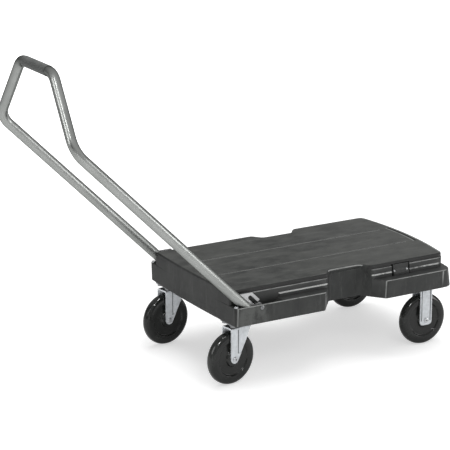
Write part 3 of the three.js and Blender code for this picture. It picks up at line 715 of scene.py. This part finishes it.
def bent_channel(x0, x1, top):
    """The blank of a fork: a strip bent down at both sides, with rounded bends."""
    outer, inner, r_out, r_in, foot = FORK_OUTER, FORK_INNER, 4.5, 1.5, 40
    crown = top - 4
    section = [(outer, foot)] + arc(outer - r_out, top - r_out, r_out, 0, 90, 6)
    section += arc(r_out - outer, top - r_out, r_out, 90, 180, 6) + [(-outer, foot), (-inner, foot)]
    section += arc(r_in - inner, crown - r_in, r_in, 180, 90, 4)
    section += arc(inner - r_in, crown - r_in, r_in, 90, 0, 4) + [(inner, foot)]
    return drawn_bar(section, x0, x1)


def axle_hole(x):
    bit = rod(AXLE_R + 0.2, -40, 40, 32)
    return moved(bit, at(x, 0, WHEEL_R) @ SIDEWAYS.transposed())


def mark_groove_shade(fork, top):
    """Marks the floors of the pressed grooves, to be painted dark as shade."""
    co = points_of(fork)
    depth = FORK_OUTER - np.abs(co[:, 1])
    groove_shade = (depth > 1.2) & (depth < 2.5) & (co[:, 2] < top) & (co[:, 2] > 60)
    return set_values(fork, "groove_shade_mark", groove_shade)


def swivel_fork_mesh():
    """Pressed fork: upright at the back, slanting to the axle in front, with a pressed step."""
    leg_r, above, outer = 10.5, CROWN_TOP + 5, FORK_OUTER
    left = -TRAIL - leg_r
    plan = [(left, above)] + arc(-TRAIL, WHEEL_R, leg_r, 180, 324, 20)
    plan += [(6, 102), (22, CROWN_TOP), (22, above)]
    fork = combine(bent_channel(left - 5, 27, CROWN_TOP), [thick_plate(plan, -40, 40)], "INTERSECT")
    tools = [axle_hole(-TRAIL), drill(0, 0, 120, 150, 6.4, 36)]
    for _, side in SIDES:
        step = [(-17.8, outer + 1), (-17.8, outer), (-17.0, outer - 2.4), (-14.4, outer - 2.4),
                (-13.6, outer - 0.9), (30, outer - 0.9), (30, outer + 1)]
        tools.append(prism([(x, side * y) for x, y in step], 76, CROWN_TOP - 5.2))
    fork = ease_edges(cut(fork, tools), 0.45, 60)
    stop = lathe(rounded([(0, 13.6), (2.0, 13.6, 0.6), (2.3, 15.5, 0), (0, 15.5)]), 24)
    stop = moved(stop, at(-30.5, 0, 129.5) @ SIDEWAYS)
    return mark_groove_shade(combine(fork, [stop], "UNION"), CROWN_TOP - 5)


def rigid_fork_mesh():
    """Pressed fork: straight legs with a rounded foot and two pressed grooves in each."""
    top = PLATE_TOP - PLATE_THICK - 0.2
    foot, low, outer = WHEEL_R - 2, WHEEL_R - 12.5, FORK_OUTER
    plan = [(-17, top + 5)] + curve((-17, foot), (-17, low), (-7, low), 8)
    plan += curve((7, low), (17, low), (17, foot), 8) + [(17, top + 5)]
    fork = combine(bent_channel(-25, 25, top), [thick_plate(plan, -40, 40)], "INTERSECT")
    tools = [axle_hole(0)]
    for _, side in SIDES:
        for x in (-12.4, 12.4):
            groove = [(-1.8, outer + 1), (-1.8, outer), (-0.7, outer - 1.8),
                      (0.7, outer - 1.8), (1.8, outer), (1.8, outer + 1)]
            tools.append(prism([(x + dx, side * y) for dx, y in groove], 62, top - 5.2))
    return mark_groove_shade(ease_edges(cut(fork, tools), 0.45, 60), top - 5)


def ball_race_mesh():
    line = rounded_ring([(10, 139.3, 0), (20, 139.3, 1.0), (23, 141, 1.2), (23, 144.5, 1.2),
                         (20, 146.5, 1.0), (10, 146.5, 0)])
    return lathe(line, 56, ring=True)


def kingpin_mesh():
    under = CROWN_TOP - 4.3
    line = rounded([(0, under - 4), (8, under - 4, 0.6), (9.5, under - 2.5, 0.8), (9.5, under, 0),
                            (6, under, 0), (6, 150.4, 0.4), (0, 150.4)])
    return lathe(line, 40)


def caster_pieces(looks):
    """Every piece of the four casters, each placed by the boxes of its CAD nodes."""
    for corner, x, y, swivels in caster_centres():
        hub = centre_of(f"wheel_{corner}")
        turn = math.atan2(y - hub.y, x - hub.x) if swivels else 0.0
        fixed = at(x, y, 0)
        turned = fixed @ Matrix.Rotation(turn, 4, "Z")
        axle = Matrix.Translation(hub) @ Matrix.Rotation(turn, 4, "Z")
        fork_body = f"swivel_{corner}" if swivels else "deck"

        def add(name, mesh, place, body, look):
            fine(f"{name}_{corner}", moved(mesh, place), body, looks[look])

        add("caster_plate", mounting_plate_mesh(swivels), fixed, "deck", "shaded")
        for i, (dx, dy) in enumerate(BOLT_SPOTS):
            seat = at(x + dx, y + dy, DECK_BOTTOM - 4.3)
            bolt = moved(plate_bolt_mesh(), seat @ Matrix.Rotation(0.3 + 0.7 * i, 4, "Z"))
            fine(f"plate_bolt_{corner}_{i + 1}", bolt, "deck", looks["dull"])
        add("fork", swivel_fork_mesh() if swivels else rigid_fork_mesh(), turned, fork_body, "zinc")
        if swivels:
            add("ball_race", ball_race_mesh(), fixed, "deck", "zinc")
            add("kingpin", kingpin_mesh(), fixed, "deck", "bolt")
        add("wheel", wheel_mesh(), axle, f"wheel_{corner}", "rubber")
        add("wheel_bushing", bushing_mesh(), axle, fork_body, "bolt")
        add("axle_bolt", axle_bolt_mesh(), axle, fork_body, "bolt")
        add("axle_nut", axle_nut_mesh(), axle, fork_body, "bolt")


def handle_pieces(looks):
    fine("handle_tube", handle_tube_mesh(), "handle", looks["satin"])
    fine("grip_sleeve", grip_sleeve_mesh(), "handle", looks["vinyl"])
    for word, side in SIDES:
        fine(f"hinge_plate_{word}", hinge_plate_mesh(side), "handle", looks["plate"])
        fine(f"pivot_bolt_{word}", pivot_bolt_mesh(side), "deck", looks["dull"])
        fine(f"pivot_spacer_{word}", pivot_spacer_mesh(side), "deck", looks["nylon"])
        fine(f"corner_rivet_{word}", corner_rivet_mesh(side), "deck", looks["bolt"])
        piece(f"handle_saddle_{word}", saddle_mesh(side), "deck", looks["nylon"], [f"handle_clip_{word}"])
        for k, x in enumerate(SCREW_XS):
            piece(f"saddle_screw_{word}_{k + 1}", saddle_screw_mesh(side, x), "deck", looks["bolt"])


# ---- materials

class Nodes:
    """Short hand for building the node tree of a material or a world."""

    def __init__(self, name, owners=None, output="ShaderNodeOutputMaterial"):
        self.owner = (bpy.data.materials if owners is None else owners).new(name)
        self.owner.use_nodes = True
        self.tree = self.owner.node_tree
        self.tree.nodes.clear()
        self.out = self.new(output)
        self.coord = self.new("ShaderNodeTexCoord").outputs["Object"]

    def new(self, kind, **settings):
        node = self.tree.nodes.new(kind)
        for key, value in settings.items():
            setattr(node, key, value)
        return node

    def put(self, socket, value):
        if isinstance(value, bpy.types.NodeSocket):
            self.tree.links.new(value, socket)
        else:
            socket.default_value = value

    def math(self, operation, a, b=0.0):
        node = self.new("ShaderNodeMath", operation=operation)
        self.put(node.inputs[0], a)
        self.put(node.inputs[1], b)
        return node.outputs[0]

    def add(self, a, b):
        return self.math("ADD", a, b)

    def times(self, *values):
        """The product of masks and numbers."""
        out = values[0]
        for value in values[1:]:
            out = self.math("MULTIPLY", out, value)
        return out

    def either(self, *masks):
        out = masks[0]
        for mask in masks[1:]:
            out = self.math("MAXIMUM", out, mask)
        return out

    def spread(self, value, low, high, to_low=0.0, to_high=1.0):
        """A smooth step of the value from low to high."""
        node = self.new("ShaderNodeMapRange", interpolation_type="SMOOTHSTEP")
        for socket, v in zip(node.inputs, (value, low, high, to_low, to_high)):
            self.put(socket, v)
        return node.outputs[0]

    def below(self, value, low, high):
        return self.spread(value, low, high, 1.0, 0.0)

    def band(self, value, low, high, soft):
        """1 between low and high, fading to 0 over the soft width outside them."""
        return self.times(self.spread(value, low - soft, low),
                          self.below(value, high, high + soft))

    def filled(self, kind, output, vector, **values):
        """One output of a new node whose inputs are filled in by name."""
        node = self.new(kind)
        self.put(node.inputs["Vector"], vector or self.coord)
        for key, value in values.items():
            self.put(node.inputs[key], value)
        return node.outputs[output]

    def scaled(self, x, y, z):
        return self.filled("ShaderNodeMapping", "Vector", None, Scale=(x, y, z))

    def noise(self, scale, detail=3.0, rough=0.5, vector=None):
        return self.filled("ShaderNodeTexNoise", "Fac", vector, Scale=scale, Detail=detail, Roughness=rough)

    def cells(self, scale):
        return self.filled("ShaderNodeTexVoronoi", "Distance", None, Scale=scale)

    def mix(self, fac, a, b):
        node = self.new("ShaderNodeMix", data_type="RGBA")
        self.put(node.inputs[0], fac)
        for socket, v in ((node.inputs[6], a), (node.inputs[7], b)):
            self.put(socket, v if isinstance(v, bpy.types.NodeSocket) else (*v, 1.0))
        return node.outputs[2]

    def attribute(self, name):
        return self.new("ShaderNodeAttribute", attribute_name=name).outputs["Fac"]

    def parts(self, vector):
        node = self.new("ShaderNodeSeparateXYZ")
        self.put(node.inputs[0], vector)
        return node.outputs

    def facing(self):
        """The upward part of the surface normal: 1 on a level top face."""
        return self.parts(self.new("ShaderNodeNewGeometry").outputs["Normal"])[2]

    def vector(self, operation, a, b=(0.0, 0.0, 0.0)):
        node = self.new("ShaderNodeVectorMath", operation=operation)
        self.put(node.inputs[0], a)
        self.put(node.inputs[1], b)
        return node.outputs

    def shop(self):
        """x, y and z in millimetres, as the shapes above are drawn."""
        offset = self.vector("SUBTRACT", self.coord, SHIFT)[0]
        return self.parts(self.vector("MULTIPLY", offset, (1 / MM,) * 3)[0])

    def edge(self, radius, low, high):
        """1 on edges whose rounding is near the radius, 0 on flat faces."""
        bevel = self.new("ShaderNodeBevel", samples=6)
        bevel.inputs["Radius"].default_value = radius
        normal = self.new("ShaderNodeNewGeometry").outputs["Normal"]
        return self.below(self.vector("DOT_PRODUCT", bevel.outputs[0], normal)["Value"], low, high)

    def bump(self, height, distance, strength=1.0, normal=None):
        node = self.new("ShaderNodeBump")
        node.inputs["Distance"].default_value = distance
        node.inputs["Strength"].default_value = strength
        self.put(node.inputs["Height"], height)
        if normal is not None:
            self.put(node.inputs["Normal"], normal)
        return node.outputs[0]

    def blend(self, share, first, second):
        """Sends a mix of two shaders to the output."""
        node = self.new("ShaderNodeMixShader")
        for socket, value in zip(node.inputs, (share, first.outputs[0], second.outputs[0])):
            self.put(socket, value)
        self.put(self.out.inputs[0], node.outputs[0])

    def surface(self, **inputs):
        shader = self.new("ShaderNodeBsdfPrincipled")
        for key, value in inputs.items():
            self.put(shader.inputs[key.replace("_", " ")], value)
        self.put(self.out.inputs[0], shader.outputs[0])
        return self.owner


def deck_plastic():
    """Moulded black plastic: a dusty scuffed top, glossier ledges painted darker as shade, light edge lines
    that are part wear and part painted highlight, and painted shade in seams and the slot.
    """
    n = Nodes("deck_plastic")
    x, y, z = n.shop()
    y = n.math("ABSOLUTE", y)
    tilt = n.math("ABSOLUTE", n.facing())
    level = n.spread(tilt, 0.9, 0.99)
    upright = n.below(tilt, 0.06, 0.2)
    rim = n.spread(tilt, 0.12, 0.4)

    # Light edge lines, part wear and part painted highlight, and dark seams of painted shadow and shade, each
    # a band of shop millimetres.
    broken = n.spread(n.noise(34, 4, 0.7), 0.3, 0.55, 0.35, 1.0)
    faint = n.spread(broken, 0.35, 1.0, 0.6, 1.0)
    bumpy = n.spread(n.noise(75, 3, 0.6), 0.36, 0.56, 0.2, 1.0)
    beyond_notch = n.spread(x, 392, 400)
    shelf_line = n.times(n.band(z, 204.0, 206.6, 0.4), n.band(y, 178, 182, 0.5), n.band(x, 131, 586, 1),
                         n.add(n.times(beyond_notch, n.math("SUBTRACT", bumpy, 1.0)), 1.0))
    ledge_line = n.times(n.band(z, 217.8, 219.3, 0.4), n.band(y, 176.5, 182, 0.5),
                         n.spread(x, 10, 20), broken)
    flange_line = n.times(n.band(z, 194.6, 196.4, 0.3), n.spread(y, 205.5, 206.5), rim, broken)
    notch_line = n.times(n.band(z, 225.6, 227.8, 0.4), n.band(x, 262, 392, 3),
                         n.below(y, 158, 159), rim, faint)
    # A dark band along the load plate's lower edge: painted shadow where it meets the ledge.
    plate_edge_shadow = n.times(n.band(z, 219.8, 228.0, 0.5), n.spread(y, 168, 171))
    squared = n.times(y, y)
    to_nose = n.add(x, n.times(squared, NOSE_BOW / NOSE_HALF ** 2))
    nose_line = n.times(level, n.spread(z, 228.0, 228.4), n.band(to_nose, 608.6, 611.0, 0.4), broken)
    to_slot = n.add(x, n.times(squared, SLOT_BOW / SLOT_HALF ** 2))
    by_slot = n.times(n.below(y, SLOT_HALF + 1, SLOT_HALF + 2), level)
    # The slot's floor is painted dark: painted shade in the recess.
    slot_floor_shade = n.times(by_slot, n.band(to_slot, 599.6, 604.2, 0.3))
    slot_line = n.times(by_slot, n.band(to_slot, 595.6, 598.2, 0.4), broken)
    near_nose = n.times(n.band(x, 575.5, 578.5, 1.2), n.spread(z, 150, 200))
    corner = n.either(n.band(x, 4.4, 6.4, 0.8), n.band(x, 241.2, 243, 0.8), n.band(x, 412, 413.6, 0.8),
                      near_nose)
    corner_line = n.times(corner, n.spread(y, 202.5, 204.0), upright,
                          n.spread(n.noise(30, 3, 0.6, n.scaled(1, 1, 0.3)), 0.3, 0.6, 0.25, 1.0))
    # The corner groove is painted near black: painted shade in the recess.
    groove_shade = n.times(n.band(y, 201.0, 205.4, 0.5), n.below(x, 3.0, 3.6), upright)
    panel = n.times(n.band(y, 54.8, 59.2, 0.3), n.spread(z, 227.0, 227.5), n.band(x, 29, 571, 1))

    patches = n.noise(5, 5, 0.62, n.scaled(1.0, 0.7, 1.0))
    dust = n.noise(26, 6, 0.72, n.scaled(0.55, 1.0, 1.0))
    streaks = n.noise(95, 5, 0.75, n.scaled(1.0, 1.0, 0.16))
    rubs = n.noise(48, 5, 0.75, n.scaled(0.18, 1.0, 1.0))
    grain = n.noise(900, 2, 0.5)
    pebble = n.cells(620)

    blots = n.noise(15, 5, 0.7, n.scaled(1.0, 1.0, 0.7))
    walls = n.mix(n.spread(blots, 0.35, 0.7), (0.009, 0.0102, 0.0096), (0.022, 0.0234, 0.022))
    walls = n.mix(n.spread(streaks, 0.52, 0.76, 0.0, 0.6), walls, (0.056, 0.058, 0.056))
    near_corner = n.times(n.band(x, 16, 72, 22), n.spread(y, 195, 203))
    walls = n.mix(n.times(near_corner, n.spread(blots, 0.42, 0.62)), walls, (0.062, 0.065, 0.062))
    top = n.mix(n.spread(dust, 0.36, 0.64), (0.0145, 0.0162, 0.015), (0.050, 0.052, 0.049))
    top = n.mix(n.spread(patches, 0.4, 0.62, 0.0, 0.55), top, (0.058, 0.060, 0.056))
    top = n.mix(n.spread(rubs, 0.52, 0.7, 0.0, 0.7), top, (0.09, 0.092, 0.088))
    top = n.mix(n.spread(x, 200, 520, 0.0, 0.22), top, (0.1, 0.102, 0.098))
    base = n.mix(level, walls, top)
    # The ledge and its walls are painted darker: painted shade in the channel beside the load plate.
    on_ledge = n.times(n.below(z, 219.4, 220.4), n.spread(z, 150, 196.0), n.spread(x, 8, 14),
                      n.spread(y, 178.4, 178.9), n.either(level, n.below(y, 204, 206)))
    shade = n.mix(n.spread(dust, 0.3, 0.7), (0.021, 0.022, 0.0215), (0.034, 0.035, 0.034))
    base = n.mix(on_ledge, base, shade)
    base = n.mix(n.times(panel, faint), base, (0.19, 0.192, 0.188))
    # The light lines are part wear and part painted highlight; the darkest tones are painted shade.
    for mask, tone in ((plate_edge_shadow, 0.012), (ledge_line, 0.2), (flange_line, 0.22), (notch_line, 0.22),
                       (nose_line, 0.2), (slot_floor_shade, 0.02), (slot_line, 0.2), (corner_line, 0.26),
                       (shelf_line, 0.42)):
        base = n.mix(mask, base, (tone, tone * 1.02, tone))
    base = n.mix(n.times(groove_shade, 0.85), base, (0.004, 0.004, 0.004))
    rough = n.add(n.spread(patches, 0.25, 0.75, 0.5, 0.64), n.times(grain, 0.08))
    rough = n.math("SUBTRACT", rough, n.times(on_ledge, 0.16))
    relief = n.add(n.times(pebble, 0.8), n.times(grain, 0.6))
    normal = n.bump(dust, 0.0015, 0.22, n.bump(relief, 0.0002, 0.35))
    return n.surface(Base_Color=base, Roughness=rough, Normal=normal)


def zinc_steel(name, dull, bright, cool):
    """Zinc-plated sheet: faint crystal patches, fine rolling lines, and painted shade on upper faces and in
    the pressed grooves.
    """
    n = Nodes(name)
    patches = n.cells(140)
    cloud = n.noise(45, 4, 0.6)
    lines = n.noise(160, 3, 0.6, n.scaled(1.0, 1.0, 0.06))
    tone = n.add(n.times(patches, 0.35), n.times(cloud, 0.65))
    tones = [(t, t * (1 + cool / 2), t * (1 + cool)) for t in (dull, bright, bright * 1.2)]
    base = n.mix(n.spread(tone, 0.2, 0.75), tones[0], tones[1])
    base = n.mix(n.spread(lines, 0.5, 0.75, 0.0, 0.3), base, tones[0])
    base = n.mix(n.times(n.edge(0.0008, 0.9, 0.99), 0.5), base, tones[2])
    # Faces that look up are painted dark: painted shade beneath the deck.
    base = n.mix(n.spread(n.facing(), 0.6, 0.95, 0.0, 0.95), base, (0.03, 0.032, 0.034))
    # Groove floors marked on the forks are painted dark: painted shade.
    base = n.mix(n.times(n.attribute("groove_shade_mark"), 0.8), base, (0.05, 0.053, 0.055))
    rough = n.spread(n.add(cloud, lines), 0.7, 1.3, 0.30, 0.46)
    normal = n.bump(n.add(lines, n.times(patches, 0.4)), 0.0001, 0.25)
    return n.surface(Base_Color=base, Metallic=0.45, Roughness=rough, Normal=normal)


def bolt_steel(name, dull, bright):
    """Plated fasteners, a little brighter on their edges."""
    n = Nodes(name)
    cloud = n.spread(n.noise(220, 4, 0.6), 0.3, 0.7)
    base = n.mix(cloud, (dull, dull * 1.03, dull * 1.06), (bright, bright * 1.02, bright * 1.04))
    base = n.mix(n.times(n.edge(0.0006, 0.88, 0.99), 0.6), base, (bright * 1.25,) * 3)
    rough = n.add(n.times(cloud, 0.18), 0.22)
    normal = n.bump(n.noise(700, 3, 0.6), 0.0001, 0.2)
    return n.surface(Base_Color=base, Metallic=0.9, Roughness=rough, Normal=normal)


def satin_tube():
    """Satin steel tube: drawing lines along its length, faint scuffs, and painted dark reflection at its
    outlines and on the bends beside the grip.
    """
    n = Nodes("satin_tube")
    drawn = n.new("ShaderNodeCombineXYZ")
    n.put(drawn.inputs[0], n.times(n.attribute("along"), 0.01))
    n.put(drawn.inputs[1], n.attribute("around_cos"))
    n.put(drawn.inputs[2], n.attribute("around_sin"))
    cloud = n.noise(18, 4, 0.6)
    specks = n.noise(240, 3, 0.7)
    lines = n.noise(0.55, 3, 0.6, drawn.outputs[0])
    base = n.mix(n.spread(cloud, 0.3, 0.7), (0.33, 0.341, 0.33), (0.395, 0.406, 0.395))
    base = n.mix(n.spread(lines, 0.45, 0.7, 0.0, 0.35), base, (0.28, 0.29, 0.28))
    base = n.mix(n.spread(specks, 0.62, 0.75, 0.0, 0.3), base, (0.26, 0.27, 0.26))
    x, y, z = n.shop()
    # The tube is painted darker on the bends beside the grip: a painted dark reflection.
    painted_dark_bends = n.times(n.spread(z, 715, 758), n.spread(n.math("ABSOLUTE", y), 62, 98, 1.0, 0.0))
    base = n.mix(n.times(painted_dark_bends, 0.5), base, (0.15, 0.155, 0.15))
    # The tube is painted darker towards its outlines: a painted dark reflection at grazing view.
    painted_dark_rim = n.new("ShaderNodeLayerWeight")
    painted_dark_rim.inputs["Blend"].default_value = 0.5
    base = n.mix(n.spread(painted_dark_rim.outputs["Facing"], 0.55, 0.95, 0.0, 0.75), base, (0.07, 0.072, 0.07))
    rough = n.spread(n.add(cloud, n.times(specks, 0.5)), 0.5, 1.0, 0.29, 0.38)
    rough = n.add(rough, n.spread(z, 215, 420, 0.16, 0.0))
    normal = n.bump(lines, 0.00005, 0.08)
    tint = (0.35, 0.36, 0.35, 1.0)
    return n.surface(Base_Color=base, Metallic=1.0, Roughness=rough, Specular_Tint=tint, Normal=normal)


def grip_vinyl():
    n = Nodes("grip_vinyl")
    cloud = n.noise(60, 4, 0.6)
    grain = n.cells(900)
    base = n.mix(n.spread(cloud, 0.3, 0.7), (0.085, 0.09, 0.087), (0.125, 0.13, 0.127))
    base = n.mix(n.spread(n.noise(300, 3, 0.7), 0.6, 0.75, 0.0, 0.25), base, (0.2, 0.2, 0.2))
    normal = n.bump(grain, 0.0002, 0.5)
    return n.surface(Base_Color=base, Roughness=n.spread(cloud, 0.3, 0.7, 0.6, 0.75), Normal=normal)


def wheel_rubber():
    """Glossy black wheel: turned rings, faint dust in the recess and on the tread."""
    n = Nodes("wheel_rubber")
    ring = n.attribute("ring")
    cloud = n.noise(30, 4, 0.6)
    grooves = n.math("SINE", n.times(ring, 5.2))
    tread = n.spread(ring, 60.5, 63.0)
    dust = n.times(n.add(n.times(tread, 0.7), 0.25), n.spread(n.noise(45, 5, 0.7), 0.36, 0.66))
    base = n.mix(n.spread(cloud, 0.3, 0.7), (0.0055, 0.006, 0.0056), (0.0095, 0.0102, 0.0096))
    base = n.mix(n.times(dust, 0.07), base, (0.12, 0.12, 0.115))
    worn = n.edge(0.0012, 0.9, 0.99)
    base = n.mix(n.times(worn, 0.3), base, (0.1, 0.1, 0.1))
    rough = n.add(n.spread(cloud, 0.3, 0.7, 0.09, 0.14), n.times(dust, 0.1))
    height = n.add(n.times(grooves, 0.3), n.noise(600, 2, 0.5))
    normal = n.bump(height, 0.00006, 0.2)
    return n.surface(Base_Color=base, Roughness=rough, Specular_IOR_Level=0.32, Normal=normal)


def saddle_nylon():
    n = Nodes("saddle_nylon")
    cloud = n.noise(80, 4, 0.6)
    base = n.mix(n.spread(cloud, 0.3, 0.7), (0.016, 0.017, 0.0165), (0.03, 0.031, 0.03))
    worn = n.times(n.edge(0.001, 0.9, 0.99), n.spread(n.noise(70, 3, 0.6), 0.35, 0.6))
    base = n.mix(n.times(worn, 0.4), base, (0.25, 0.25, 0.24))
    normal = n.bump(n.noise(800, 2, 0.5), 0.0002, 0.3)
    return n.surface(Base_Color=base, Roughness=n.spread(cloud, 0.3, 0.7, 0.42, 0.58), Normal=normal)


# ---- stage

# The floor glows to the camera by this share near the object and wholly from GLOW_FAR metres out.
FLOOR_GLOW, GLOW_SHARE, GLOW_NEAR, GLOW_FAR, MIRRORED_SHARE = 1.97, 0.27, 0.75, 2.2, 0.08
# Strength of the room's light: factors by direction, each (axis, low, high, factor low, factor high).
ROOM_LIGHT = ((2, -0.1, 0.7, 0.5, 0.85), (0, -0.9, -0.2, 0.45, 1.0), (1, -0.9, 0.3, 1.15, 0.8))
SKY = 1.05
# Soft boxes: name, place, aim, width, height, watts. Fills give no highlights, cards give only
# highlights, and the last two of each kind reach only the forks and the wheels.
FILLS = (("overhead", (0.2, 0.2, 2.6), (0, 0, 0), 2.6, 2.0, 50),
         ("key", (-0.6, -2.6, 2.0), (0, 0, 0), 1.0, 0.8, 12),
         ("low_fill", (-1.5, -2.9, 0.12), (0, 0, -0.1), 1.6, 0.55, 24),
         ("caster_fill", (-2.3, -2.5, 0.0), (-0.3, 0.2, -0.15), 0.9, 0.5, 36),
         ("end_fill", (-1.6, -0.6, -0.05), (-0.23, 0.17, -0.15), 0.5, 0.3, 12))
CARDS = (("right_card", (2.4, -1.75, 0.3), (-0.2, 0, 0.1), 1.0, 1.0, 17),
         ("left_card", (-2.75, -0.1, 1.2), (-0.3, 0, 0.3), 0.6, 1.4, 12),
         ("tube_card", (-1.65, -1.02, 2.2), (0, 0, -0.1), 0.4, 0.4, 7),
         ("glint_card", (-0.6, -2.5, 1.55), (0, 0, -0.1), 0.35, 0.35, 45),
         ("ring_card", (-0.25, -0.7, 2.6), (0, -0.1, -0.1), 0.6, 0.6, 90))
# Camera of the photograph: place in shop millimetres, angles in radians, focal length in pixels.
EYE, YAW, PITCH = (-2187.778, -3933.268, 1688.049), 0.525124, 0.290586
FOCAL_PX, IMAGE_PX, SENSOR_MM = 2014.903, 450.0, 36.0


def floor_material():
    n = Nodes("studio_floor")
    tone = n.mix(n.spread(n.noise(3, 2), 0.3, 0.7), (0.93, 0.93, 0.93), (0.95, 0.95, 0.95))
    diffuse = n.new("ShaderNodeBsdfDiffuse")
    n.put(diffuse.inputs["Color"], tone)
    glow = n.new("ShaderNodeEmission")
    glow.inputs["Strength"].default_value = FLOOR_GLOW
    share = n.spread(n.vector("LENGTH", n.coord)["Value"], GLOW_NEAR, GLOW_FAR, GLOW_SHARE, 1.0)
    path = n.new("ShaderNodeLightPath")
    mirrored_share = n.times(path.outputs["Is Glossy Ray"], MIRRORED_SHARE)
    n.blend(n.add(n.times(path.outputs["Is Camera Ray"], share), mirrored_share), diffuse, glow)
    return n.owner


def studio_world():
    """White to the camera; to everything else a room lit from above, darker towards its sides."""
    n = Nodes("studio", bpy.data.worlds, "ShaderNodeOutputWorld")
    seen, felt = n.new("ShaderNodeBackground"), n.new("ShaderNodeBackground")
    seen.inputs["Color"].default_value = (1, 1, 1, 1)
    seen.inputs["Strength"].default_value = SKY
    direction = n.parts(n.new("ShaderNodeTexCoord").outputs["Generated"])
    n.put(felt.inputs["Strength"], n.times(*[n.spread(direction[axis], *ramp) for axis, *ramp in ROOM_LIGHT]))
    n.blend(n.new("ShaderNodeLightPath").outputs["Is Camera Ray"], felt, seen)
    return n.owner


def soft_box(name, place, aim, width, height, power, kind, only=None):
    """A card gives only highlights and a fill everything else, to one collection if it is given."""
    lamp = bpy.data.lights.new(name, "AREA")
    lamp.shape, lamp.size, lamp.size_y, lamp.energy = "RECTANGLE", width, height, power
    light = bpy.data.objects.new(name, lamp)
    light.location = place
    light.rotation_euler = (Vector(aim) - Vector(place)).to_track_quat("-Z", "Y").to_euler()
    light.visible_diffuse, light.visible_glossy = kind == "fill", kind == "card"
    light.visible_camera = False
    light.light_linking.receiver_collection = only
    bpy.context.scene.collection.objects.link(light)


def stage():
    """A pale floor, a white room, soft lights and the camera of the photograph."""
    scene = bpy.context.scene
    scene.view_settings.view_transform = "Standard"
    half, z = 30.0, SHIFT.z - 0.0005
    floor = mesh_of([(-half, -half, z), (half, -half, z), (half, half, z), (-half, half, z)], [(0, 1, 2, 3)])
    o = bpy.data.objects.new("floor", floor)
    floor.materials.append(floor_material())
    scene.collection.objects.link(o)
    scene.world = studio_world()

    casters = bpy.data.collections.new("casters")
    for o in scene.objects:
        if o.name.startswith(("fork_", "wheel_")) and o.name.endswith("_fine"):
            casters.objects.link(o)
    for kind, boxes in (("fill", FILLS), ("card", CARDS)):
        for k, box in enumerate(boxes):
            soft_box(*box, kind, casters if k > 2 else None)

    camera = bpy.data.cameras.new("photo_camera")
    camera.sensor_width = SENSOR_MM
    camera.lens = SENSOR_MM * FOCAL_PX / IMAGE_PX
    camera.clip_end = 100.0
    eye = bpy.data.objects.new("photo_camera", camera)
    eye.location = SHIFT + Vector(EYE) * MM
    eye.rotation_euler = (math.pi / 2 - PITCH, 0.0, -YAW)
    scene.collection.objects.link(eye)
    scene.camera = eye


# ---- assembly

looks = {"zinc": (zinc_steel("zinc_steel", 0.39, 0.51, 0.08), "zinc_steel"),
         "plate": (zinc_steel("hinge_steel", 0.35, 0.5, 0.02), "zinc_steel"),
         # The caster plates' darker copy of the zinc is painted shade beneath the deck.
         "shaded": (zinc_steel("shaded_steel", 0.16, 0.24, 0.08), "zinc_steel"),
         "bolt": (bolt_steel("bolt_steel", 0.46, 0.68), "fastener_steel"),
         # Darker fastener steel: the pivot bolts' dull finish, and painted shade on the plate bolts beneath
         # the deck.
         "dull": (bolt_steel("dull_steel", 0.16, 0.3), "fastener_steel"),
         "satin": (satin_tube(), "handle_steel"), "vinyl": (grip_vinyl(), "grip_vinyl"),
         "rubber": (wheel_rubber(), "wheel_rubber"), "nylon": (saddle_nylon(), "nylon")}
piece("deck_shell", deck_mesh(), "deck", (deck_plastic(), "deck_plastic"), ["deck_body"])
handle_pieces(looks)
caster_pieces(looks)
stage()
